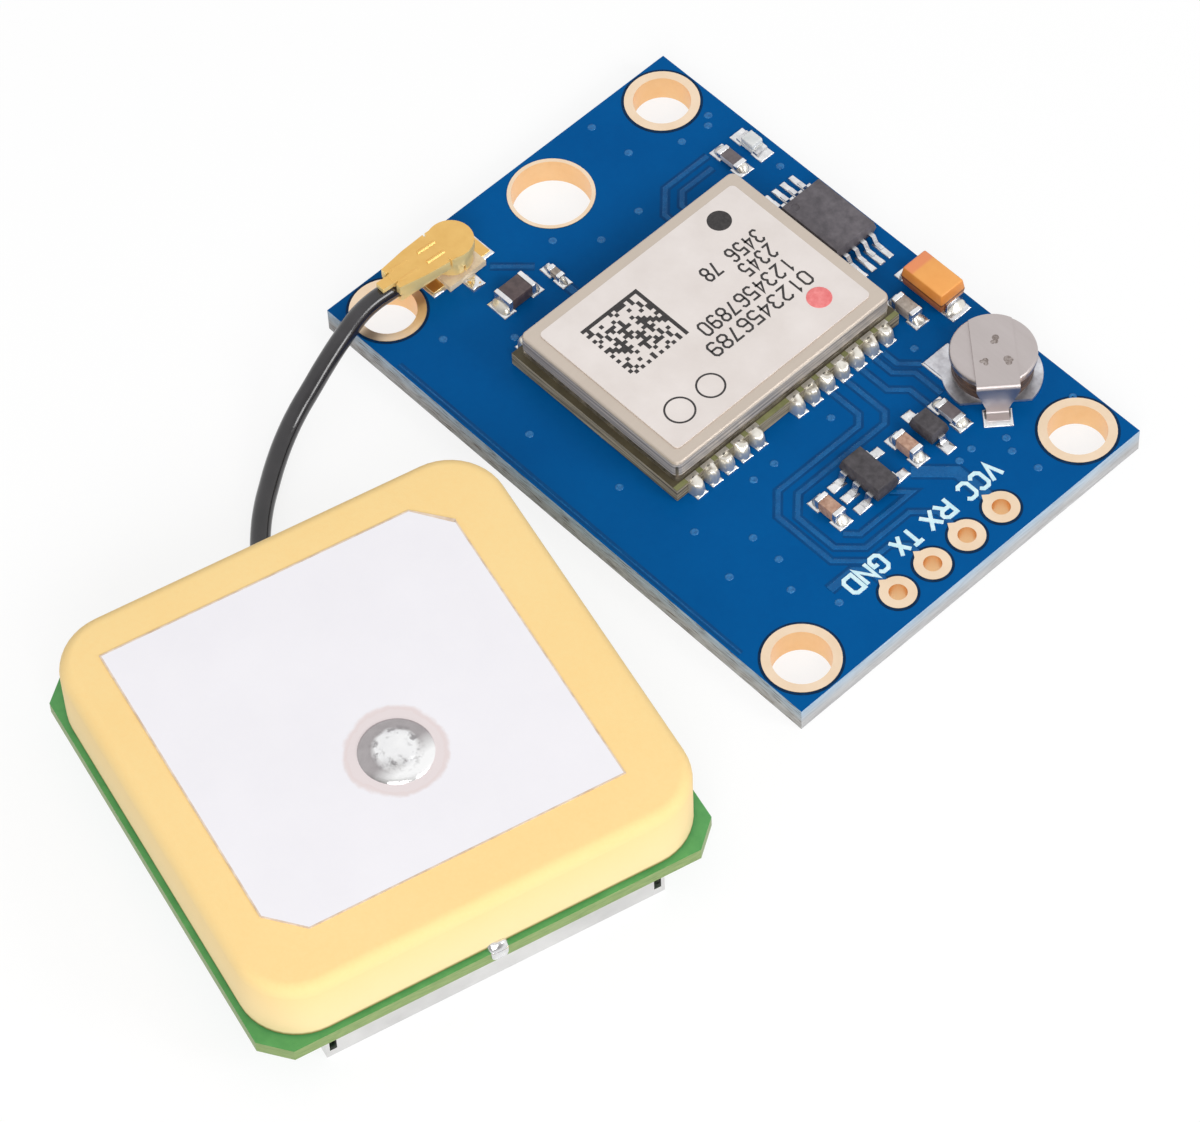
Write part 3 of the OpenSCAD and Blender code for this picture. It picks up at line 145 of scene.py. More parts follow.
def ink(red, green, blue):
    """A colour as a painter's 0 to 255 values, turned into light."""
    def light(part):
        part /= 255
        return part / 12.92 if part <= 0.04045 else ((part + 0.055) / 1.055) ** 2.4
    return (light(red), light(green), light(blue), 1.0)


class Finish:
    """A material with one shader, fed from places on the piece itself."""

    def __init__(self, name, metallic=0.0, roughness=0.5, coat=0.0, specular=0.5, stretch=(1, 1, 1)):
        self.material = bpy.data.materials.new(name)
        self.material.use_nodes = True
        self.wire = Wire(self.material.node_tree)
        self.shader = self.material.node_tree.nodes["Principled BSDF"]
        constants = {
            "Metallic": metallic, "Roughness": roughness, "Coat Weight": coat, "Coat Roughness": 0.15,
            "Specular IOR Level": specular,
        }
        for socket, value in constants.items():
            self.shader.inputs[socket].default_value = value
        self.place = self.wire.node("TexCoord", {}, {}, "Object").stretched(stretch)

    def feed(self, socket, wire):
        self.wire.tree.links.new(wire.socket, self.shader.inputs[socket])

    def relief(self, height, depth):
        """Raises the surface by up to depth millimetres where height is 1."""
        sockets = {"Height": height, "Distance": depth * MM, "Strength": 1.0}
        self.feed("Normal", self.wire.node("Bump", {}, sockets))

    def facing(self, axis):
        """How squarely faces look along one axis, either way."""
        return abs(self.wire.node("TexCoord", {}, {}, "Normal").axis(axis))

    def upright(self):
        """1 on faces that stand, 0 on faces that lie flat."""
        lying, standing = 0.85, 0.35
        return self.facing("Z").ramp(lying, standing)


def mottled(name, dark, light, size, roughness, depth=0.0, **shader):
    """A finish that wanders between two tones and two degrees of gloss, in patches of one size."""
    made = Finish(name, **shader)
    tone = made.place.noise(size)
    fine = made.place.noise(size / 4)
    made.feed("Base Color", tone.ramp(0.3, 0.7).mix(dark, light))
    made.feed("Roughness", (fine * 0.5 + tone * 0.5).span(*roughness))
    if depth:
        made.relief(fine * 0.4 + tone * 0.6, depth)
    return made


cable_route = [
    (-15.7, -8.55, 2.95), (-15.8, -10.0, 2.95), (-15.85, -11.0, 2.95), (-15.75, -12.1, 2.9),
    (-15.4, -13.6, 2.7), (-15.0, -15.2, 2.3), (-14.6, -16.7, 1.8), (-14.25, -18.0, 1.35),
    (-13.7, -19.4, 0.95), (-13.0, -20.7, 0.7), (-12.2, -21.9, 0.6), (-11.3, -23.1, 0.6),
    (-10.3, -24.2, 0.6), (-9.2, -25.2, 0.6), (-8.0, -26.1, 0.7), (-6.2, -27.0, 0.9),
    (-4.2, -27.6, 1.1), (-2.2, -28.1, 1.3), (-0.2, -28.6, 1.4), (1.8, -29.1, 1.4), (3.2, -29.45, 1.4),
]
cable_d = 1.1
line = bpy.data.curves.new("coaxial_cable", "CURVE")
line.dimensions = "3D"
line.bevel_depth = cable_d / 2 * MM
line.bevel_resolution = 6
line.resolution_u = 8
line.use_fill_caps = True
spline = line.splines.new("BEZIER")
spline.bezier_points.add(len(cable_route) - 1)
for knot, point in zip(spline.bezier_points, cable_route):
    knot.co = Vector(point) * MM
    knot.handle_left_type = knot.handle_right_type = "AUTO"
coaxial_cable = bpy.data.objects.new("coaxial_cable", line)
scene.collection.objects.link(coaxial_cable)
jacket = mottled("black_jacket", ink(24, 22, 25), ink(42, 39, 43), 1.6, (0.12, 0.2), 0.006, specular=0.7)
line.materials.append(jacket.material)
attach(coaxial_cable, "root")
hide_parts("antenna_cable")

# Studio. A plain white table and white walls that darken behind the camera, one wide soft lamp at the front
# and a smaller one at the header's side. The table keeps the module's soft shadow.
world = bpy.data.worlds.new("white_studio")
scene.world = world
world.use_nodes = True
world.node_tree.nodes.clear()
room = Wire(world.node_tree)


def seen_rays(wire):
    """1 for rays by which the background is seen, straight or in metal and glass."""
    kinds = ("Is Camera Ray", "Is Glossy Ray", "Is Transmission Ray")
    straight, gloss, through = (wire.node("LightPath", {}, {}, kind) for kind in kinds)
    return wire.math("MAXIMUM", straight, wire.math("MAXIMUM", gloss, through))


white = (1, 1, 1, 1)
behind_camera = (0.22, 0.21, 0.2, 1)
soft_light = room.node("Background", {}, {"Color": white, "Strength": 0.62})
direction = room.node("TexCoord", {}, {}, "Generated")
front = room.node("VectorMath", {"operation": "DOT_PRODUCT"}, {0: direction, 1: (0.72, -0.69, 0.0)}, "Value")
shade_share = room.node("MapRange", {"interpolation_type": "SMOOTHSTEP"}, {0: front, 1: -0.1, 2: 0.9})
walls = room.node("Background", {}, {"Color": shade_share.mix(white, behind_camera), "Strength": 1.0})
both = room.node("MixShader", {}, {0: seen_rays(room), 1: soft_light, 2: walls})
room.node("OutputWorld", {}, {"Surface": both})

table_half, table_drop = 1.5, 0.00002
corner_signs = ((1, 1), (-1, 1), (-1, -1), (1, -1))
table_corners = [(x * table_half, y * table_half, -table_drop) for x, y in corner_signs]
table_mesh = bpy.data.meshes.new("table")
table_mesh.from_pydata(table_corners, [], [(0, 1, 2, 3)])
table = bpy.data.objects.new("table", table_mesh)
scene.collection.objects.link(table)
table_paint = bpy.data.materials.new("white_table")
table_paint.use_nodes = True
table_paint.node_tree.nodes.clear()
paint = Wire(table_paint.node_tree)
matt = paint.node("BsdfDiffuse", {}, {"Color": (0.86, 0.86, 0.86, 1)})
glow = paint.node("Emission", {}, {"Color": white, "Strength": 1.05})
glow_share = 0.78
table_look = paint.node("MixShader", {}, {0: seen_rays(paint) * glow_share, 1: matt, 2: glow})
paint.node("OutputMaterial", {}, {"Surface": table_look})
table_mesh.materials.append(table_paint)


def soft_lamp(name, place, aim, size, power):
    """A square area lamp at place, turned towards aim."""
    lamp = bpy.data.objects.new(name, bpy.data.lights.new(name, "AREA"))
    lamp.data.size = size
    lamp.data.energy = power
    lamp.location = place
    lamp.rotation_euler = (Vector(aim) - Vector(place)).to_track_quat("-Z", "Y").to_euler()
    scene.collection.objects.link(lamp)


module_middle = (0.002, -0.016, 0.0)
soft_lamp("front_lamp", (0.3, -0.27, 0.27), module_middle, size=0.26, power=1.05)
soft_lamp("side_lamp", (0.345, 0.136, 0.225), module_middle, size=0.13, power=0.42)


# Circuit board. Glass-fibre laminate under a glossy blue solder mask. The short edges were sawn clean,
# and the long ones snapped off a panel, so they show torn layers of glass.
def dress(finish, *names):
    """Gives solids of the source a finish."""
    for name in names:
        for slot in cad[name].material_slots:
            slot.material = finish.material


board_top = 1.6
mask_blue = Finish("blue_mask", specular=0.04)
cloud = mask_blue.place.noise(6.0)
fine_cloud = mask_blue.place.noise(0.35)
raw_edge = mask_blue.upright()
layers_place = mask_blue.place.stretched((0.4, 0.4, 6))
layers = layers_place.noise(1.0)
snapped = mask_blue.facing("Y").span(0.2, 1.0)
fibres = layers_place.noise(0.45)
torn = snapped * fibres.ramp(0.5, 0.64)
mask_colour = (cloud * 0.7 + fine_cloud * 0.3).mix(ink(0, 76, 140), ink(2, 94, 162))
tint_from = 0.55
under_mask = mask_blue.place.axis("Z").ramp(tint_from * MM, board_top * MM)
bare_edge = layers.mix(ink(146, 146, 148), ink(214, 214, 214))
tinted_edge = layers.mix(ink(134, 162, 188), ink(196, 216, 232))
edge_colour = torn.mix(under_mask.mix(bare_edge, tinted_edge), ink(108, 97, 88))
mask_blue.feed("Base Color", raw_edge.mix(mask_colour, edge_colour))
mask_blue.feed("Roughness", raw_edge * 0.35 + fine_cloud.span(0.25, 0.4))
mask_blue.relief(fine_cloud * 0.5 + raw_edge * layers * 2, 0.008)
dress(mask_blue, "circuit_board")

# Plated holes. Four screw holes, one larger hole and four header holes, each lined with copper
# that is dipped in gold, with bare rings on both faces.
gold = Finish("gold_plating", metallic=1.0)
plating = gold.place.noise(1.4)
ring_tone = plating.mix(ink(234, 204, 170), ink(250, 230, 206))
# Painted reflection and shade: upright faces inside the holes are a deeper orange than the flat rings.
barrel_shade_tone = plating.mix(ink(242, 188, 128), ink(254, 214, 164))
gold.feed("Base Color", gold.upright().mix(ring_tone, barrel_shade_tone))
gold.feed("Roughness", plating.span(0.28, 0.45))
gold.relief(plating, 0.004)
dress(gold, "mounting_hole_rings", "large_hole_lining", "header_hole_rings")


# Tracks. Etched copper under the mask, seen as low pale ridges beside darker gaps.
# The receiver's signals turn round the power parts in wide loops on their way to the header.
def ribbon(mesh, points, width, low, high, slope=0.0):
    """Adds a closed strip of one width along a flat line of points, in millimetres."""
    half, mitre_limit = width / 2, 0.4
    section = [(half, low), (half - slope, high), (slope - half, high), (-half, low)]
    flat = [Vector(p) for p in points]
    rows = []
    for i, point in enumerate(flat):
        before = (point - flat[i - 1]).normalized() if i else None
        after = (flat[i + 1] - point).normalized() if i < len(flat) - 1 else None
        way = ((before or after) + (after or before)).normalized()
        side = Vector((-way.y, way.x)) / max(way.dot(before or after), mitre_limit)
        rows.append([mesh.verts.new((*(point + side * reach), z)) for reach, z in section])
    for a, b in zip(rows, rows[1:]):
        for k in range(4):
            mesh.faces.new((a[k], a[(k + 1) % 4], b[(k + 1) % 4], b[k]))
    mesh.faces.new(rows[0][::-1])
    mesh.faces.new(rows[-1])


def piece(name, mesh, finish, slot, *replaced, smooth=None):
    """Makes a piece of the module from a mesh drawn in millimetres, and rides it on the part."""
    bmesh.ops.recalc_face_normals(mesh, faces=mesh.faces)
    data = bpy.data.meshes.new(name)
    mesh.transform(Matrix.Scale(MM, 4))
    mesh.to_mesh(data)
    mesh.free()
    if smooth is not None:
        data.shade_smooth()
        data.set_sharp_from_angle(angle=math.radians(smooth))
    data.materials.append(finish.material)
    made = bpy.data.objects.new(name, data)
    scene.collection.objects.link(made)
    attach(made, "root")
    if replaced:
        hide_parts(*replaced)
    return made


tracks = [
    (0.3, [(4.9, 6.6), (5.95, 6.6), (6.9, 7.5)]),
    (0.3, [(4.9, 6.0), (6.2, 6.0), (7.05, 6.85), (9.0, 6.85)]),
    (0.3, [(4.9, 5.0), (6.8, 5.0), (7.65, 5.85), (9.0, 5.85)]),
    (0.3, [(4.9, 3.9), (7.7, 3.9), (8.25, 3.35), (8.25, -3.05), (9.3, -4.15), (12.0, -4.15), (13.15, -3.0),
           (13.15, 0.2), (14.2, 1.27), (15.4, 1.27)]),
    (0.3, [(4.9, 2.8), (6.85, 2.8), (7.4, 2.25), (7.4, -3.7), (8.55, -4.85), (12.5, -4.85), (13.9, -3.45),
           (13.9, -2.0), (14.6, -1.27), (15.4, -1.27)]),
    (0.75, [(11.4, 2.1), (12.2, 2.9), (13.1, 3.81), (15.4, 3.81)]),
    (0.3, [(11.5, 0.4), (12.35, 1.2), (12.35, -2.6), (11.7, -3.2)]),
    (0.5, [(15.4, -3.81), (14.4, -3.81), (13.7, -4.5), (13.7, -6.2)]),
    (0.3, [(-11.2, 9.3), (-11.2, 6.1), (-9.9, 4.8), (-9.0, 4.8)]),
    (0.3, [(-10.4, 8.9), (-10.4, 6.6), (-9.7, 5.9), (-9.0, 5.9)]),
    (0.3, [(-12.3, -2.6), (-13.4, -3.7), (-14.0, -4.3)]),
    (0.45, [(-10.4, -2.25), (-9.9, -2.25), (-9.0, -2.25)]),
    (0.12, [(-12.6, -12.2), (13.3, -12.2)]),
]
gap_w, gap_rise = 0.13, 0.004
track_rise, track_slope = 0.028, 0.06
rise_step = 0.0004
gap_sheet = bmesh.new()
track_sheet = bmesh.new()
for i, (width, points) in enumerate(tracks):
    ribbon(gap_sheet, points, width + 2 * gap_w, board_top, board_top + gap_rise + rise_step * i)
    ribbon(track_sheet, points, width, board_top, board_top + track_rise + rise_step * i, track_slope)
bare_blue = mottled(
    "bare_laminate_blue", ink(0, 66, 122), ink(0, 76, 134), 1.0, (0.25, 0.4), 0.004, specular=0.1)
track_blue = mottled(
    "covered_copper_blue", ink(0, 82, 142), ink(8, 98, 160), 0.9, (0.2, 0.34), 0.004, specular=0.22)
piece("track_gaps", gap_sheet, bare_blue, "board_mask")
piece("tracks", track_sheet, track_blue, "board_mask")


# Vias. Small plated holes that join the board's two sides, closed over by the mask,
# so that each shows as a low bump with a dimple.
def turned(mesh, x, y, profile, sides=24, closed=True):
    """Adds a turned form from (radius, height) points, about an upright line at x, y."""
    rings = []
    for radius, height in profile:
        rings.append([
            mesh.verts.new((x + radius * math.cos(a), y + radius * math.sin(a), height))
            for a in (2 * math.pi * k / sides for k in range(sides))
        ])
    for a, b in zip(rings, rings[1:]):
        for k in range(sides):
            mesh.faces.new((a[k], a[(k + 1) % sides], b[(k + 1) % sides], b[k]))
    if closed:
        mesh.faces.new(rings[0][::-1])
        mesh.faces.new(rings[-1])
    return rings


via_places = [
    (-11.1, 4.0), (-11.1, 1.2), (-12.7, 10.8), (-13.2, 11.3), (-7.9, 11.6), (-12.9, 9.0), (6.0, 1.6),
    (6.0, -2.6), (6.0, -4.1), (8.6, -6.7), (10.5, -6.7), (9.5, -9.3), (12.6, 5.4), (13.4, 7.2), (14.2, 6.8),
    (12.7, 4.4), (5.9, 7.95), (-12.9, -0.7), (-9.6, -6.6), (12.3, -7.6), (6.2, -8.6), (-12.2, -9.4),
    (-4.4, -10.4), (1.4, -9.4), (14.6, -6.4), (15.9, 7.0), (7.0, 11.6), (14.0, 11.6), (-17.1, 6.2),
    (-14.4, 6.4),
]
via_profile = [(0.23, 0.0), (0.2, 0.03), (0.15, 0.045), (0.09, 0.02), (0.04, 0.012)]
via_sheet = bmesh.new()
for x, y in via_places:
    turned(via_sheet, x, y, [(r, board_top + h) for r, h in via_profile], sides=16)
via_blue = mottled("covered_via_blue", ink(8, 88, 150), ink(44, 124, 184), 0.2, (0.1, 0.2), specular=0.3)
piece("covered_vias", via_sheet, via_blue, "board_mask", smooth=50)


# Mask openings. The mask stops a little short of each plated ring,
# and leaves a dark moat of bare laminate between them.
def islands(solid):
    """The separate solids of a node, each as a list of its corners in millimetres."""
    number, parent, place = {}, [], []

    def root(i):
        while parent[i] != i:
            i = parent[i]
        return i

    for vertex in solid.data.vertices:
        key = tuple(round(c / MM, 3) for c in vertex.co)
        if key not in number:
            number[key] = len(parent)
            parent.append(len(parent))
        place.append(number[key])
    for edge in solid.data.edges:
        a, b = (root(place[v]) for v in edge.vertices)
        parent[a] = b
    groups = {}
    for key, i in number.items():
        groups.setdefault(root(i), []).append(Vector(key))
    return sorted(groups.values(), key=lambda group: tuple(min(group)))


fine_sides = 48


def hoop(mesh, x, y, outer, inner, low, high):
    """Adds a flat closed ring about an upright line at x, y."""
    section = [(outer, low), (outer, high), (inner, high), (inner, low)]
    rings = turned(mesh, x, y, section, fine_sides, closed=False)
    a, b = rings[-1], rings[0]
    for k in range(fine_sides):
        nxt = (k + 1) % fine_sides
        mesh.faces.new((a[k], a[nxt], b[nxt], b[k]))


moat_w, moat_tuck, moat_rise = 0.15, 0.03, 0.012
moats = bmesh.new()
for corners in islands(cad["mounting_hole_rings"]) + islands(cad["header_hole_rings"]):
    west, east = min(c.x for c in corners), max(c.x for c in corners)
    south, north = min(c.y for c in corners), max(c.y for c in corners)
    x, y = (west + east) / 2, (south + north) / 2
    ring_r = (east - west) / 2
    hoop(moats, x, y, ring_r + moat_w, ring_r - moat_tuck, board_top, board_top + moat_rise)
moat_blue = mottled("moat_blue", ink(0, 34, 66), ink(6, 52, 92), 0.5, (0.3, 0.5), 0.004, specular=0.1)
piece("mask_openings", moats, moat_blue, "board_mask")

# Header lettering. White ink screened on the mask beside the header holes, in strokes of one width,
# giving supply, receive, transmit and ground.
strokes = {
    "V": [[(0, 6), (2, 0), (4, 6)]],
    "C": [[(4, 5), (3, 6), (1, 6), (0, 5), (0, 1), (1, 0), (3, 0), (4, 1)]],
    "R": [[(0, 0), (0, 6.6)], [(0, 6), (3, 6), (4, 5), (4, 4), (3, 3), (0, 3)], [(2, 3), (4, 0)]],
    "X": [[(0, 0), (4, 6)], [(0, 6), (4, 0)]],
    "T": [[(0, 6), (4, 6)], [(2, 6), (2, 0)]],
    "G": [[(4, 5), (3, 6), (1, 6), (0, 5), (0, 1), (1, 0), (3, 0), (4, 1), (4, 3), (2.4, 3)]],
    "N": [[(0, 0), (0, 6), (4, 0), (4, 6)]],
    "D": [[(0, -0.6), (0, 6.6)], [(0, 6), (3, 6), (4, 5), (4, 1), (3, 0), (0, 0)]],
}


def lettering(mesh, words, x, y_from, y_to, height, width, low, high):
    """Draws words along -Y from y_from to y_to, with the letters' tops towards +X and their feet at x."""
    grid_w, grid_h = 4, 6
    between = 0.25 * height
    stroke_step = 0.0006
    step = (y_from - y_to + between) / len(words)
    letter_w = step - between
    for i, letter in enumerate(words):
        for k, stroke in enumerate(strokes.get(letter, [])):
            points = [(x + v / grid_h * height, y_from - i * step - u / grid_w * letter_w) for u, v in stroke]
            ribbon(mesh, points, width, low, high + stroke_step * k)


silk_x, silk_h, silk_w, silk_rise = 13.82, 1.05, 0.22, 0.048
silk_sheet = bmesh.new()
for words, y_from, y_to in (("VCC", 5.45, 2.95), ("RX", 2.0, 0.25), ("TX", -0.5, -2.0), ("GND", -2.9, -5.45)):
    lettering(silk_sheet, words, silk_x, y_from, y_to, silk_h, silk_w, board_top, board_top + silk_rise)
silk_white = mottled("screened_ink", ink(190, 234, 246), ink(232, 252, 255), 0.3, (0.45, 0.65), 0.006)
piece("header_lettering", silk_sheet, silk_white, "label")

# Header teardrops. Each header ring has a small point where its track runs in, which keeps the two joined
# when the hole is drilled off centre. It is bare copper, plated together with the ring.
header_pitch, header_pins = 2.54, 4
drop_half, drop_reach, drop_rise = 0.32, 0.26, 0.045
drop_start = 0.9
inward = Vector((-1, -0.15)).normalized()
across = Vector((inward.y, -inward.x))
teardrops = bmesh.new()
ring_low, ring_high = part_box("header_hole_rings")
ring_x, ring_r = (ring_low.x + ring_high.x) / 2 / MM, (ring_high.x - ring_low.x) / 2 / MM
for k in range(header_pins):
    hub = Vector((ring_x, ((header_pins - 1) / 2 - k) * header_pitch))
    foot = hub + inward * drop_start * ring_r
    tip = hub + inward * (ring_r + drop_reach)
    corners = [foot + across * drop_half, tip, foot - across * drop_half]
    base = [teardrops.verts.new((*c, board_top)) for c in corners]
    face = [teardrops.verts.new((*c, board_top + drop_rise)) for c in corners]
    teardrops.faces.new(base[::-1])
    teardrops.faces.new(face)
    for a, b in ((0, 1), (1, 2), (2, 0)):
        teardrops.faces.new((base[a], base[b], face[b], face[a]))
piece("ring_teardrops", teardrops, gold, "gold_plating")


# Lands. Bare copper under every part, on which the solder ran out into a low uneven dome
# and drowned the feet of the leads.
def pool(mesh, corners, swell, seed):
    """Adds one land with its dome of solder, from the corners of the bare land."""
    flat = [c.to_2d() for c in corners]
    edge = [flat[i] for i in convex_hull_2d(flat)]
    low, high = min(c.z for c in corners), max(c.z for c in corners)
    corner = Vector((min(p.x for p in edge), min(p.y for p in edge)))
    half = (Vector((max(p.x for p in edge), max(p.y for p in edge))) - corner) / 2
    middle = corner + half
    steps = 6
    loop = [a.lerp(b, k / steps) for a, b in zip(edge, edge[1:] + edge[:1]) for k in range(steps)]
    dome = ((1.0, 0.0), (0.95, 0.4), (0.84, 0.7), (0.64, 0.92), (0.34, 1.0), (0.1, 1.0))
    rows = []
    for share, lift in ((1.0, None), *dome):
        row = []
        for point in loop:
            way = point - middle
            bearing = math.atan2(way.y / half.y, way.x / half.x)
            oval = Vector((math.cos(bearing) * half.x, math.sin(bearing) * half.y))
            spot = middle + (way * share + oval * (1 - share)) * share
            wave = 1 + 0.4 * math.sin(6.1 * spot.x + 2.3 * seed) * math.cos(5.3 * spot.y + 1.7 * seed)
            row.append(mesh.verts.new((*spot, low if lift is None else high + swell * lift * wave)))
        rows.append(row)
    for a, b in zip(rows, rows[1:]):
        for k in range(len(loop)):
            nxt = (k + 1) % len(loop)
            mesh.faces.new((a[k], a[nxt], b[nxt], b[k]))
    mesh.faces.new(rows[0][::-1])
    mesh.faces.new(rows[-1])


land_swell, socket_swell = 0.1, 0.2
solder = mottled(
    "bright_solder", ink(212, 212, 214), ink(244, 244, 245), 0.7, (0.18, 0.32), 0.003, metallic=0.92)
pools = bmesh.new()
socket_low, socket_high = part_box("socket_ring")
for seed, corners in enumerate(islands(cad["solder_lands"])):
    x, y = corners[0].x * MM, corners[0].y * MM
    beside_socket = socket_low.x < x < socket_high.x + MM and socket_low.y - MM < y < socket_high.y + MM
    pool(pools, corners, socket_swell if beside_socket else land_swell, seed)
piece("solder_pools", pools, solder, "tinned", "solder_lands", smooth=55)


# Solder joints. Solder that was drawn up the metal of each terminal and over its land:
# full round beads along the receiver, and shorter slopes at the ends of the chips.
def joint(mesh, foot, out, width, reach, rise, fullness, seed):
    """Adds one bead of solder from the wall at foot, out over its land."""
    steps, sides = 8, 10
    across = Vector((-out.y, out.x, 0))
    top, base = [], []
    for i in range(steps + 1):
        row_top, row_base = [], []
        for k in range(sides + 1):
            s, t = math.sin(math.pi / 2 * i / steps), math.sin(math.pi / 2 * (2 * k / sides - 1))
            slope = max(1 - s ** fullness, 0) ** (1 / fullness)
            belly = max(1 - abs(t) ** (fullness + 1), 0) ** (1 / (fullness + 1))
            wave = 1 + 0.12 * math.sin(4 * s + 3.1 * seed) * math.cos(2.5 * t + 1.7 * seed)
            forth = reach * s * (1 - 0.25 * t * t)
            aside = width / 2 * t * (1 - 0.2 * s * s)
            spot = foot + out * forth + across * aside
            row_top.append(mesh.verts.new(spot + Vector((0, 0, 0.01 + rise * slope * belly * wave))))
            row_base.append(mesh.verts.new(spot))
        top.append(row_top)
        base.append(row_base)
    for i in range(steps):
        for k in range(sides):
            mesh.faces.new((top[i][k], top[i][k + 1], top[i + 1][k + 1], top[i + 1][k]))
            mesh.faces.new((base[i][k], base[i + 1][k], base[i + 1][k + 1], base[i][k + 1]))
        mesh.faces.new((top[i][0], top[i + 1][0], base[i + 1][0], base[i][0]))
        mesh.faces.new((top[i][sides], base[i][sides], base[i + 1][sides], top[i + 1][sides]))
    for k in range(sides):
        mesh.faces.new((top[0][k], base[0][k], base[0][k + 1], top[0][k + 1]))
        mesh.faces.new((top[steps][k], top[steps][k + 1], base[steps][k + 1], base[steps][k]))


bead_w, bead_reach, bead_fullness = 0.82, 0.68, 3.4
slope_w, slope_reach, slope_rise, slope_fullness = 1.3, 1.35, 1.3, 1.3
same_level, same_wall = 0.02, 0.05
beads = bmesh.new()
carrier_low, carrier_high = (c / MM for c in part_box("receiver_board"))
for seed, corners in enumerate(islands(cad["solder_fillets"])):
    low = min(c.z for c in corners)
    high = max(c.z for c in corners)
    wall = [c for c in corners if c.z > high - same_level]
    feet = [c for c in corners if c.z < low + same_level]
    middle = sum(wall, Vector()) / len(wall)
    toe = sum(feet, Vector()) / len(feet)
    out = Vector((toe.x - middle.x, toe.y - middle.y, 0)).normalized()
    spread = [c.dot(Vector((-out.y, out.x, 0))) for c in corners]
    reach = max((c - middle).dot(out) for c in corners)
    width = max(spread) - min(spread)
    on_receiver = min(abs(middle.x - carrier_low.x), abs(middle.x - carrier_high.x)) < same_wall
    foot = Vector((middle.x, middle.y, low))
    if on_receiver:
        joint(beads, foot, out, bead_w, bead_reach, carrier_high.z - low, bead_fullness, seed)
    else:
        width, reach, rise = width * slope_w, reach * slope_reach, (high - low) * slope_rise
        joint(beads, foot, out, width, reach, rise, slope_fullness, seed)
bead_solder = mottled(
    "bead_solder", ink(216, 211, 200), ink(247, 244, 236), 1.0, (0.24, 0.38), 0.003, metallic=0.75)
piece("solder_joints", beads, bead_solder, "tinned", "solder_fillets", smooth=60)

# Receiver carrier. A small dark glass-fibre board with half holes cut through its plated edge terminals,
# soldered down along both long sides. Its sawn edges are streaked.
carrier = Finish("carrier_laminate", specular=0.3)
carrier_tone = carrier.place.noise(0.8)
streaks = carrier.place.stretched((0.2, 0.2, 9)).noise(0.9)
# Painted shade: the carrier's top along the lid is darker than the open part past the lid's end.
past_lid = carrier.place.axis("X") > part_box("receiver_lid")[1].x
shaded_top = carrier_tone.mix(ink(58, 52, 40), ink(96, 88, 66))
open_top = carrier_tone.mix(ink(104, 108, 66), ink(152, 152, 106))
carrier_top = past_lid.mix(shaded_top, open_top)
carrier_side = streaks.ramp(0.35, 0.65).mix(ink(58, 49, 42), ink(186, 174, 146))
carrier.feed("Base Color", carrier.upright().mix(carrier_top, carrier_side))
carrier.feed("Roughness", carrier_tone.span(0.45, 0.65))
carrier.relief(carrier_tone + streaks, 0.008)
dress(carrier, "receiver_board")
dress(bead_solder, "receiver_terminals")

# Receiver shield. A fence of folded sheet is soldered to the carrier, and a pressed lid clips over it.
# Both are satin nickel silver. Rolling left a faint grain on top, and the lid's walls carry painted
# reflections in light and dark streaks.
shield = Finish("nickel_silver", metallic=1.0, specular=0.5)
grain = shield.place.stretched((10, 1, 14)).noise(2.4, 6.0)
broad = shield.place.noise(7.0)
wall_share = shield.upright()
top_tone = (grain * 0.4 + broad * 0.6).mix(ink(194, 181, 168), ink(216, 204, 192))
# Painted reflection: the walls get streaks of light and shade, and are made half as metallic so that these
# show.
reflection_streaks = shield.place.stretched((0.2, 0.2, 18)).noise(2.2, 5.0)
painted_wall_reflection = reflection_streaks.ramp(0.36, 0.62).mix(ink(160, 149, 139), ink(230, 219, 205))
shield.feed("Base Color", wall_share.mix(top_tone, painted_wall_reflection))
shield.feed("Roughness", grain.span(0.34, 0.5) + wall_share * 0.08)
shield.feed("Metallic", 1.0 - wall_share * 0.5)
shield.relief(grain, 0.004)
dress(shield, "receiver_lid")
fence_metal = mottled(
    "fence_metal", ink(118, 110, 100), ink(198, 189, 174), 0.7, (0.3, 0.5), 0.006, metallic=0.8)
dress(fence_metal, "receiver_fence", "receiver_oscillator", "receiver_crystal")

# Receiver label. A pale satin sticker on the lid with a black dot at the first terminal, a dab of red paint,
# a square of printed dots, two empty rings and rows of plain numbers.
label_white = mottled(
    "satin_label", ink(228, 219, 214), ink(238, 230, 226), 3.0, (0.42, 0.6), 0.003, specular=0.3)
dress(label_white, "receiver_label")
print_thick = 0.006
print_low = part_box("receiver_label")[1].z / MM
print_high = print_low + print_thick
marks = bmesh.new()
dot_x, dot_y, dot_r = -6.05, 5.2, 0.68
turned(marks, dot_x, dot_y, [(dot_r, print_low), (dot_r, print_high)], fine_sides)
code_x, code_y, code_cells, code_cell = -5.9, -5.2, 18, 0.226
last = code_cells - 1
for i in range(code_cells):
    for j in range(code_cells):
        solid_side = i == 0 or j == last
        dashed_side = (i == last and j % 2) or (j == 0 and i % 2 == 0)
        filled = 0 < i < last and 0 < j < last and (i * i * 7 + j * j * 11 + i * j * 5 + 3 * i) % 13 < 6
        if solid_side or dashed_side or filled:
            x, y = code_x + i * code_cell, code_y + j * code_cell + code_cell / 2
            ribbon(marks, [(x, y), (x + code_cell, y)], code_cell, print_low, print_high)
ring_w = 0.11
for x, y, outer in ((1.45, -2.75, 0.82), (1.45, -5.0, 0.87)):
    hoop(marks, x, y, outer, outer - ring_w, print_low, print_high)
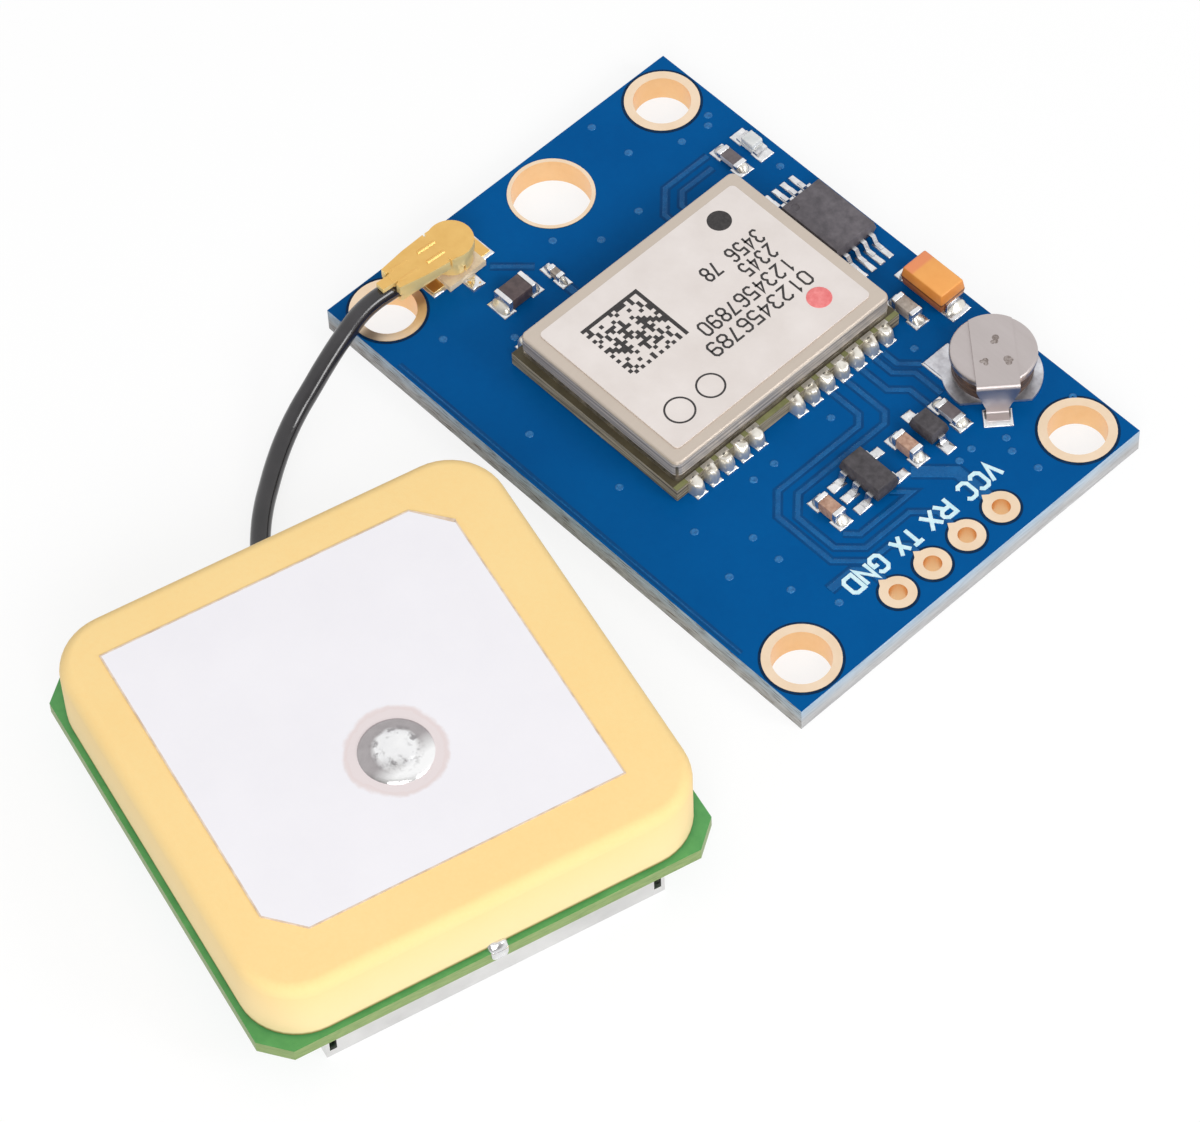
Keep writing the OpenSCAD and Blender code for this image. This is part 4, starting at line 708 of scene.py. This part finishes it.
strokes.update({
    "0": [[(1, 0), (0, 1), (0, 5), (1, 6), (3, 6), (4, 5), (4, 1), (3, 0), (1, 0)]],
    "1": [[(1, 5), (2, 6), (2, 0)]],
    "2": [[(0, 5), (1, 6), (3, 6), (4, 5), (4, 4), (0, 0), (4, 0)]],
    "3": [[(0, 5), (1, 6), (3, 6), (4, 5), (4, 4), (3, 3), (4, 2), (4, 1), (3, 0), (1, 0), (0, 1)]],
    "4": [[(3, 0), (3, 6), (0, 2), (4, 2)]],
    "5": [[(4, 6), (0, 6), (0, 3.5), (3, 3.5), (4, 2.5), (4, 1), (3, 0), (1, 0), (0, 1)]],
    "6": [[(4, 5), (3, 6), (1, 6), (0, 5), (0, 1), (1, 0), (3, 0), (4, 1), (4, 2), (3, 3), (0, 3)]],
    "7": [[(0, 6), (4, 6), (1.5, 0)]],
    "8": [[(1, 3), (0, 4), (0, 5), (1, 6), (3, 6), (4, 5), (4, 4), (3, 3), (1, 3), (0, 2), (0, 1), (1, 0),
           (3, 0), (4, 1), (4, 2), (3, 3)]],
    "9": [[(0, 1), (1, 0), (3, 0), (4, 1), (4, 5), (3, 6), (1, 6), (0, 5), (0, 4), (1, 3), (4, 3)]],
})
figure_h, figure_w = 0.9, 0.13
for words, x, y_from, y_to in (
    ("0123456789", -0.55, 6.0, -1.2), ("1234567890", -1.85, 5.9, -0.6),
    ("2345", -3.15, 5.9, 3.7), ("3456 78", -4.35, 6.1, 2.0),
):
    lettering(marks, words, x, y_from, y_to, figure_h, figure_w, print_low, print_high)
label_ink = mottled("printed_ink", ink(30, 27, 28), ink(58, 54, 54), 0.2, (0.4, 0.6))
piece("label_print", marks, label_ink, "black_mould")
dab_x, dab_y = 1.35, 5.35
dab_profile = [(0.7, 0.0), (0.69, 0.02), (0.6, 0.035), (0.3, 0.03), (0.05, 0.028)]
dab = bmesh.new()
turned(dab, dab_x, dab_y, [(r, print_low + h) for r, h in dab_profile], sides=40)
paint_red = mottled("red_paint", ink(232, 108, 110), ink(250, 150, 148), 0.35, (0.3, 0.5), 0.01)
piece("paint_dab", dab, paint_red, "orange_mould", smooth=50)


# Memory chip and the power parts' black bodies. Moulded epoxy, dull and finely pitted on top,
# with tinned leads bent down to the board on both sides.
def softened(name, node, finish, slot, width):
    """Stands in for a solid with a copy whose sharp edges are rounded by a small width."""
    flat_angle, sharp_angle = math.radians(1.5), math.radians(30)
    mesh = bmesh.new()
    mesh.from_mesh(cad[node].data)
    mesh.transform(Matrix.Scale(1 / MM, 4))
    bmesh.ops.remove_doubles(mesh, verts=mesh.verts, dist=0.0005)
    bmesh.ops.dissolve_limit(mesh, angle_limit=flat_angle, verts=mesh.verts, edges=mesh.edges)
    sharp = [e for e in mesh.edges if e.is_manifold and e.calc_face_angle() > sharp_angle]
    bmesh.ops.bevel(
        mesh, geom=sharp, offset=width, segments=3, profile=0.5, affect="EDGES", clamp_overlap=True)
    return piece(name, mesh, finish, slot, node, smooth=35)


mould_edge = 0.05
grey_mould = mottled("grey_epoxy", ink(84, 80, 85), ink(112, 107, 112), 0.5, (0.5, 0.7), 0.01, specular=0.35)
black_mould = mottled("black_epoxy", ink(58, 55, 58), ink(86, 82, 86), 0.4, (0.45, 0.65), 0.01, specular=0.35)
tin = mottled("tinned_copper", ink(190, 190, 194), ink(238, 238, 238), 0.6, (0.18, 0.34), 0.004, metallic=1.0)
softened("memory_case", "memory_body", grey_mould, "grey_mould", mould_edge)
softened("regulator_case", "regulator_body", black_mould, "black_mould", mould_edge)
softened("diode_case", "diode_body", black_mould, "black_mould", mould_edge)
dress(black_mould, "receiver_main_chip", "antenna_amplifier")
dress(tin, "memory_leads", "regulator_leads", "diode_leads")

# Tantalum capacitor. An orange block moulded in two halves round the pellet, so a seam runs round its sides.
# A redder bar marks one end, and a tinned strip is folded under each.
tantalum_low, tantalum_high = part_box("tantalum_body")
orange_mould = Finish("orange_epoxy", specular=0.4)
orange_tone = orange_mould.place.noise(0.9)
height_share = orange_mould.place.axis("Z").ramp(tantalum_low.z, tantalum_high.z)
seam = abs(height_share - 0.5).ramp(0.07, 0.02)
# Painted shade: the sides are darker than the top, and darker again below the seam.
below_seam_shade = height_share.ramp(0.5, 0.42)
bar_w, bar_blur = 0.7 * MM, 0.15 * MM
bar = orange_mould.place.axis("X").ramp(tantalum_low.x + bar_w + bar_blur, tantalum_low.x + bar_w)
shaded_upper_side = orange_tone.mix(ink(214, 128, 52), ink(240, 158, 76))
shaded_lower_side = orange_tone.mix(ink(158, 88, 42), ink(192, 116, 60))
shaded_orange_side = seam.mix(below_seam_shade.mix(shaded_upper_side, shaded_lower_side), ink(104, 56, 22))
orange_top = bar.mix(orange_tone.mix(ink(238, 158, 80), ink(250, 180, 100)), ink(240, 148, 98))
orange_mould.feed("Base Color", orange_mould.upright().mix(orange_top, shaded_orange_side))
orange_mould.feed("Roughness", orange_tone.span(0.3, 0.46))
orange_mould.relief(orange_mould.place.noise(0.2), 0.004)
tantalum_edge = 0.1
softened("tantalum_case", "tantalum_body", orange_mould, "orange_mould", tantalum_edge)
dress(tin, "tantalum_terminals")

# Chip capacitors, resistors and the inductor. Fired ceramic bricks with a dipped and tinned cap at each end,
# by which they are soldered down. The resistors are white below a dark coat.
tan_chip = mottled("tan_ceramic", ink(160, 118, 98), ink(204, 168, 146), 0.35, (0.35, 0.55), 0.006)
dark_chip = mottled("dark_ferrite", ink(66, 54, 56), ink(96, 82, 82), 0.4, (0.4, 0.6), 0.008)
grey_chip = mottled("grey_ceramic", ink(142, 130, 120), ink(186, 175, 164), 0.35, (0.35, 0.55), 0.006)
coated_chip = Finish("coated_resistor")
coat_tone = coated_chip.place.noise(0.3)
coat_top = coat_tone.mix(ink(82, 74, 78), ink(126, 116, 118))
coat_side = coat_tone.mix(ink(190, 190, 196), ink(228, 228, 232))
coated_chip.feed("Base Color", coated_chip.upright().mix(coat_top, coat_side))
coated_chip.feed("Roughness", coat_tone.span(0.3, 0.5))
coated_chip.relief(coat_tone, 0.006)
brick_edge, small_edge, dipped_edge = 0.05, 0.03, 0.06
for node in ("output_capacitor", "input_capacitor"):
    softened(node + "_brick", node, tan_chip, "tan_ceramic", brick_edge)
softened("corner_capacitor_brick", "corner_capacitor", grey_chip, "tan_ceramic", brick_edge)
for node in ("lamp_resistor", "charge_resistor"):
    softened(node + "_brick", node, coated_chip, "pale_ceramic", small_edge)
softened("radio_capacitor_brick", "radio_capacitor", grey_chip, "pale_ceramic", small_edge)
softened("inductor_brick", "bias_inductor", dark_chip, "dark_ceramic", dipped_edge)
softened("chip_caps", "chip_end_caps", solder, "tinned", dipped_edge)
dress(tan_chip, "receiver_filter", "receiver_small_chips", "antenna_filter", "antenna_small_chips")

# Indicator lamp. A white base with a clear lens cast on it and tinned terminals at its ends,
# which are soldered down as those of the chips are.
lamp_white = mottled("lamp_white", ink(226, 226, 220), ink(248, 248, 244), 0.3, (0.4, 0.6))
lamp_clear = mottled("lamp_clear", ink(232, 236, 236), ink(252, 253, 252), 0.4, (0.12, 0.22), coat=0.5)
lamp_clear.shader.inputs["Transmission Weight"].default_value = 0.2
dress(lamp_white, "lamp_base")
lens_edge = 0.08
softened("lamp_cast", "lamp_lens", lamp_clear, "lamp_clear", lens_edge)
dress(tin, "lamp_terminals")

# Backup cell. A stainless can and cap closed over a brown gasket, with a strap welded across the cap
# and a plate welded under the can, both soldered to the board.
satin_steel = Finish("satin_steel", metallic=1.0, stretch=(1, 6, 1))
steel_grain = satin_steel.place.noise(1.2, 6.0)
steel_cloud = satin_steel.place.noise(9.0)
steel_tone = (steel_grain * 0.35 + steel_cloud * 0.65).mix(ink(180, 171, 169), ink(204, 196, 195))
satin_steel.feed("Base Color", steel_tone)
satin_steel.feed("Roughness", steel_grain.span(0.34, 0.48))
satin_steel.relief(steel_grain, 0.002)
dress(satin_steel, "cell_cap", "cell_strap", "cell_can")
plate_nickel = mottled(
    "plate_nickel", ink(174, 172, 178), ink(238, 239, 244), 0.8, (0.28, 0.44), 0.006, metallic=0.85)
dress(plate_nickel, "cell_plate")
gasket = mottled("brown_gasket", ink(52, 36, 28), ink(92, 68, 54), 0.4, (0.3, 0.5), 0.01)
dress(gasket, "cell_gasket")
strap_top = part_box("cell_strap")[1].z / MM
weld_marks = bmesh.new()
weld_profile = [(1.0, 0.0), (0.8, 0.012), (0.55, 0.009), (0.3, 0.004), (0.1, 0.003)]
for x, y, weld_r in (
    (9.62, 10.18, 0.195), (9.8, 10.0, 0.15), (9.72, 9.86, 0.12),
    (11.05, 9.62, 0.225), (11.25, 9.5, 0.18), (11.2, 9.72, 0.135),
    (10.3, 8.72, 0.165), (10.46, 8.6, 0.135), (10.2, 8.52, 0.105),
):
    turned(weld_marks, x, y, [(share * weld_r, strap_top + h) for share, h in weld_profile], sides=20)
burnt_steel = mottled(
    "burnt_steel", ink(112, 101, 95), ink(182, 172, 168), 0.12, (0.3, 0.5), 0.004, metallic=1.0)
piece("weld_marks", weld_marks, burnt_steel, "cell_metal", smooth=50)

# Antenna socket and plug. A beige moulded base with a gold ring and pin, and a plug stamped
# from gold plated sheet, with pressed ribs on top and a tail that is closed round the cable.
beige = mottled("beige_moulding", ink(212, 190, 158), ink(236, 220, 192), 0.5, (0.4, 0.6), 0.006)
dress(beige, "socket_base")
rich_gold = Finish("plug_gold", metallic=1.0)
gold_tone = rich_gold.place.noise(0.9)
# Painted light: upright faces are paler and less metallic than flat ones, as if lit.
lit_wall_share = rich_gold.upright()
flat_gold = gold_tone.mix(ink(222, 174, 98), ink(242, 202, 126))
painted_light_gold = gold_tone.mix(ink(255, 216, 132), ink(255, 238, 176))
rich_gold.feed("Base Color", lit_wall_share.mix(flat_gold, painted_light_gold))
rich_gold.feed("Roughness", gold_tone.span(0.34, 0.48))
rich_gold.feed("Metallic", 1.0 - lit_wall_share * 0.62)
rich_gold.relief(gold_tone, 0.006)
dress(rich_gold, "socket_ring", "socket_pin", "plug_contact")
sheet_edge = 0.12
softened("plug_stamping", "plug_shell", rich_gold, "gold_plating", sheet_edge)
rib_side, rib_w, rib_slope, rib_sink = 0.42, 0.3, 0.1, 0.02
ribs = bmesh.new()
plug_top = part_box("plug_shell")[1].z / MM
plug_hub = Vector((-15.5, -5.7))
plug_way = Vector((-0.0698, -0.9976))
for side in (-rib_side, rib_side):
    lane = plug_hub + Vector((-plug_way.y, plug_way.x)) * side
    for start, end, rise in ((0.75, 1.9, 0.06), (2.5, 3.7, 0.03)):
        points = [lane + plug_way * start, lane + plug_way * end]
        ribbon(ribs, points, rib_w, plug_top - rib_sink, plug_top + rise, rib_slope)
piece("plug_ribs", ribs, rich_gold, "gold_plating")
white_core = mottled("white_insulator", ink(226, 226, 220), ink(244, 244, 240), 0.5, (0.4, 0.55))
dress(white_core, "plug_insulator")

# Antenna. A tinned can and a green board carry a block of fired yellow ceramic with a silver patch on top,
# held by thin tape and by the feed pin, which is soldered in the patch. Beads of solder join can and board,
# and one runs over the board's edge.
can_tin = mottled("can_tin", ink(212, 211, 210), ink(234, 233, 232), 4.0, (0.32, 0.42), 0.003, metallic=1.0)
dress(can_tin, "antenna_can")
dress(solder, "antenna_cable_joint")
can_bead_w, can_bead_reach, can_bead_fullness = 1.6, 0.45, 1.6
can_beads = bmesh.new()
for seed, corners in enumerate(islands(cad["antenna_can_joints"])):
    low, high = min(c.z for c in corners), max(c.z for c in corners)
    wall = [c for c in corners if c.z < low + same_level]
    middle = sum(wall, Vector()) / len(wall)
    out = sum(corners, Vector()) / len(corners) - middle
    out = Vector((out.x, out.y, 0)).normalized()
    foot = Vector((middle.x, middle.y, high))
    joint(can_beads, foot, out, can_bead_w, can_bead_reach, low - high, can_bead_fullness, seed)
board_edge, antenna_turn = 12.8, -14.3
outward = Matrix.Rotation(math.radians(antenna_turn), 3, "Z") @ Vector((1, 0, 0))
antenna_low, antenna_high = (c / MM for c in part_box("antenna_board"))
antenna_middle = (antenna_low + antenna_high) / 2
edge_top = Vector((antenna_middle.x, antenna_middle.y, antenna_high.z)) + outward * board_edge
edge_back = edge_top - outward * 0.3
edge_fall = antenna_low.z - antenna_high.z
joint(can_beads, edge_back, outward, width=1.15, reach=0.42, rise=0.42, fullness=1.7, seed=5)
joint(can_beads, edge_top, outward, width=1.0, reach=0.14, rise=edge_fall, fullness=2.2, seed=6)
piece("can_beads", can_beads, solder, "tinned", "antenna_can_joints", smooth=60)
dress(tin, "antenna_feed_pin")
antenna_green = Finish("antenna_mask_green", specular=0.3)
green_tone = antenna_green.place.noise(1.2)
saw_lines = antenna_green.place.stretched((1, 1, 6)).noise(0.8)
green_mask = green_tone.mix(ink(66, 136, 74), ink(104, 176, 106))
green_edge = saw_lines.mix(ink(92, 126, 62), ink(160, 178, 118))
antenna_green.feed("Base Color", antenna_green.upright().mix(green_mask, green_edge))
antenna_green.feed("Roughness", green_tone.span(0.35, 0.5))
antenna_green.relief(green_tone + saw_lines, 0.006)
dress(antenna_green, "antenna_board")
tape = mottled("tape", ink(196, 190, 172), ink(226, 222, 206), 0.8, (0.5, 0.7))
dress(tape, "antenna_tape")
ceramic_low, ceramic_high = (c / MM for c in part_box("antenna_ceramic"))
yellow_ceramic = Finish("yellow_ceramic", specular=0.25)
broad_tone = yellow_ceramic.place.noise(7.0)
speck = yellow_ceramic.place.noise(0.25, 3.0)
ceramic_top = (broad_tone * 0.55 + speck * 0.45).mix(ink(254, 213, 140), ink(255, 227, 164))
level = yellow_ceramic.place.axis("Z")
# Painted light: the upright walls have their own colour apart from the top, growing paler towards the foot.
foot_light_share = level.ramp(ceramic_high.z * MM, ceramic_low.z * MM)
# Painted shade: a dark olive line along the foot, where the block meets the board.
foot_shade_end, foot_shade_full = 0.22, 0.04
foot_shade_line = level.ramp((ceramic_low.z + foot_shade_end) * MM, (ceramic_low.z + foot_shade_full) * MM)
painted_light_side = (foot_light_share * 0.6 + broad_tone * 0.25 + speck * 0.15).mix(ink(246, 212, 144), ink(246, 226, 178))
painted_light_and_shade_side = foot_shade_line.mix(painted_light_side, ink(132, 122, 62))
yellow_ceramic.feed("Base Color", yellow_ceramic.upright().mix(ceramic_top, painted_light_and_shade_side))
yellow_ceramic.feed("Roughness", speck.span(0.5, 0.68))
yellow_ceramic.relief(speck, 0.008)


def round_block(mesh, middle, turn, half, corner, profile):
    """Adds a square block with round upright corners, whose wall follows (inset, height) points."""
    steps = 12
    sides = 4 * steps
    rows = []
    for inset, height in profile:
        row = []
        for k in range(sides):
            quarter, step = divmod(k, steps)
            bearing = math.radians(90 * (quarter + step / (steps - 1)))
            hub = (half - corner) * Vector(corner_signs[quarter])
            spot = hub + (corner - inset) * Vector((math.cos(bearing), math.sin(bearing)))
            row.append(mesh.verts.new((*(middle + Matrix.Rotation(math.radians(turn), 2) @ spot), height)))
        rows.append(row)
    for a, b in zip(rows, rows[1:]):
        for k in range(sides):
            mesh.faces.new((a[k], a[(k + 1) % sides], b[(k + 1) % sides], b[k]))
    mesh.faces.new(rows[0][::-1])
    mesh.faces.new(rows[-1])


ceramic_w, ceramic_corner, ceramic_edge = 25.0, 3.2, 0.7
edge_arc = [math.radians(9 * k) for k in range(11)]
ceramic_wall = [(0.0, ceramic_low.z)] + [
    (ceramic_edge * (1 - math.cos(a)), ceramic_high.z - ceramic_edge * (1 - math.sin(a))) for a in edge_arc
]
ceramic_block = bmesh.new()
round_block(ceramic_block, antenna_middle.to_2d(), antenna_turn, ceramic_w / 2, ceramic_corner, ceramic_wall)
piece("ceramic_block", ceramic_block, yellow_ceramic, "antenna_ceramic", "antenna_ceramic", smooth=40)

# Patch and feed joint. Silver paste screened and fired on the ceramic, thinner along its rim.
# The feed pin's head is drowned in a dome of solder that left a faint pink ring of flux round it.
feed_low, feed_high = (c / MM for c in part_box("antenna_feed_solder"))
feed_x, feed_y = (feed_low.x + feed_high.x) / 2, (feed_low.y + feed_high.y) / 2
feed_r = (feed_high.x - feed_low.x) / 2
patch = Finish("fired_silver", metallic=0.25, specular=0.3)
paste_tone = patch.place.noise(5.0)
paste_grit = patch.place.noise(0.3)
from_feed = patch.place.distance((feed_x * MM, feed_y * MM, feed_low.z * MM))
wander = from_feed + (patch.place.noise(1.1) - 0.5) * (0.7 * MM)
inside = wander.ramp((feed_r + 0.8) * MM, (feed_r + 0.5) * MM)
rim = abs(wander - (feed_r + 0.62) * MM).ramp(0.2 * MM, 0.02 * MM)
paste = (paste_tone * 0.8 + paste_grit * 0.2).mix(ink(240, 238, 243), ink(249, 247, 251))
flux = (inside * 0.7 + rim * 0.3).mix(paste, ink(228, 212, 210))
patch.feed("Base Color", flux)
patch.feed("Roughness", paste_grit.span(0.45, 0.6) - inside * 0.15)
patch.relief(paste_grit, 0.003)
dress(patch, "antenna_patch")
rim_w, rim_rise = 0.09, 0.002
rim_sheet = bmesh.new()
for corners in islands(cad["antenna_patch"]):
    flat = [c.to_2d() for c in corners]
    outline = [flat[i] for i in convex_hull_2d(flat)]
    seam_spot = outline[-1].lerp(outline[0], 0.5)
    patch_low, patch_high = min(c.z for c in corners), max(c.z for c in corners)
    ribbon(rim_sheet, [seam_spot, *outline, seam_spot], rim_w, patch_low, patch_high + rim_rise)
thin_paste = mottled("thin_paste", ink(206, 178, 150), ink(240, 222, 204), 0.8, (0.5, 0.65), 0.003)
piece("patch_rim", rim_sheet, thin_paste, "silver_print")
feed_dome = bmesh.new()
dome_profile = [
    (1.0, 0.0), (0.97, 0.12), (0.88, 0.26), (0.76, 0.34), (0.64, 0.4), (0.56, 0.55), (0.44, 0.78),
    (0.28, 0.93), (0.1, 0.97),
]
rings = turned(feed_dome, 0, 0, [(share * feed_r, h) for share, h in dome_profile], fine_sides)
for k, ring in enumerate(rings):
    for vertex in ring:
        bearing = math.atan2(vertex.co.y, vertex.co.x)
        uneven = 1 - 0.03 * (1 + math.sin(3 * bearing + 0.6)) * min(k, 4) / 4
        lump = 1 + 0.03 * math.sin(2 * bearing + 1.1 * k)
        vertex.co = (feed_x + vertex.co.x * uneven, feed_y + vertex.co.y * uneven,
                     feed_low.z + vertex.co.z * lump * (feed_high.z - feed_low.z))
feed_solder = Finish("feed_solder", metallic=0.95, stretch=(1, 1, 0))
run = feed_solder.place.noise(1.1)
from_pin = feed_solder.place.distance((feed_x * MM, feed_y * MM, 0.0))
head_r, skirt_r = 1.0 * MM, 1.3 * MM
skirt = (from_pin + (run - 0.5) * (0.5 * MM)).ramp(head_r, skirt_r)
# Painted reflection and highlight: the skirt round the head is grey, turning white towards the lit +X side.
lit_side = feed_solder.place.axis("X").ramp((feed_x + 0.2) * MM, (feed_x + 1.2) * MM)
skirt_reflection_tone = lit_side.mix(run.mix(ink(150, 145, 146), ink(186, 181, 182)), ink(248, 248, 248))
smear = feed_solder.place.noise(0.5).ramp(0.5, 0.62)
smeared = smear * abs(from_pin - head_r).ramp(0.5 * MM, 0.1 * MM)
clean_tone = skirt.mix(run.mix(ink(226, 226, 228), ink(255, 255, 255)), skirt_reflection_tone)
feed_solder.feed("Base Color", (smeared * 0.8).mix(clean_tone, ink(128, 124, 126)))
feed_solder.feed("Roughness", run.span(0.14, 0.3))
feed_solder.relief(run * 0.7 + feed_solder.place.noise(0.3) * 0.3, 0.05)
piece("feed_dome", feed_dome, feed_solder, "tinned", "antenna_feed_solder", smooth=60)
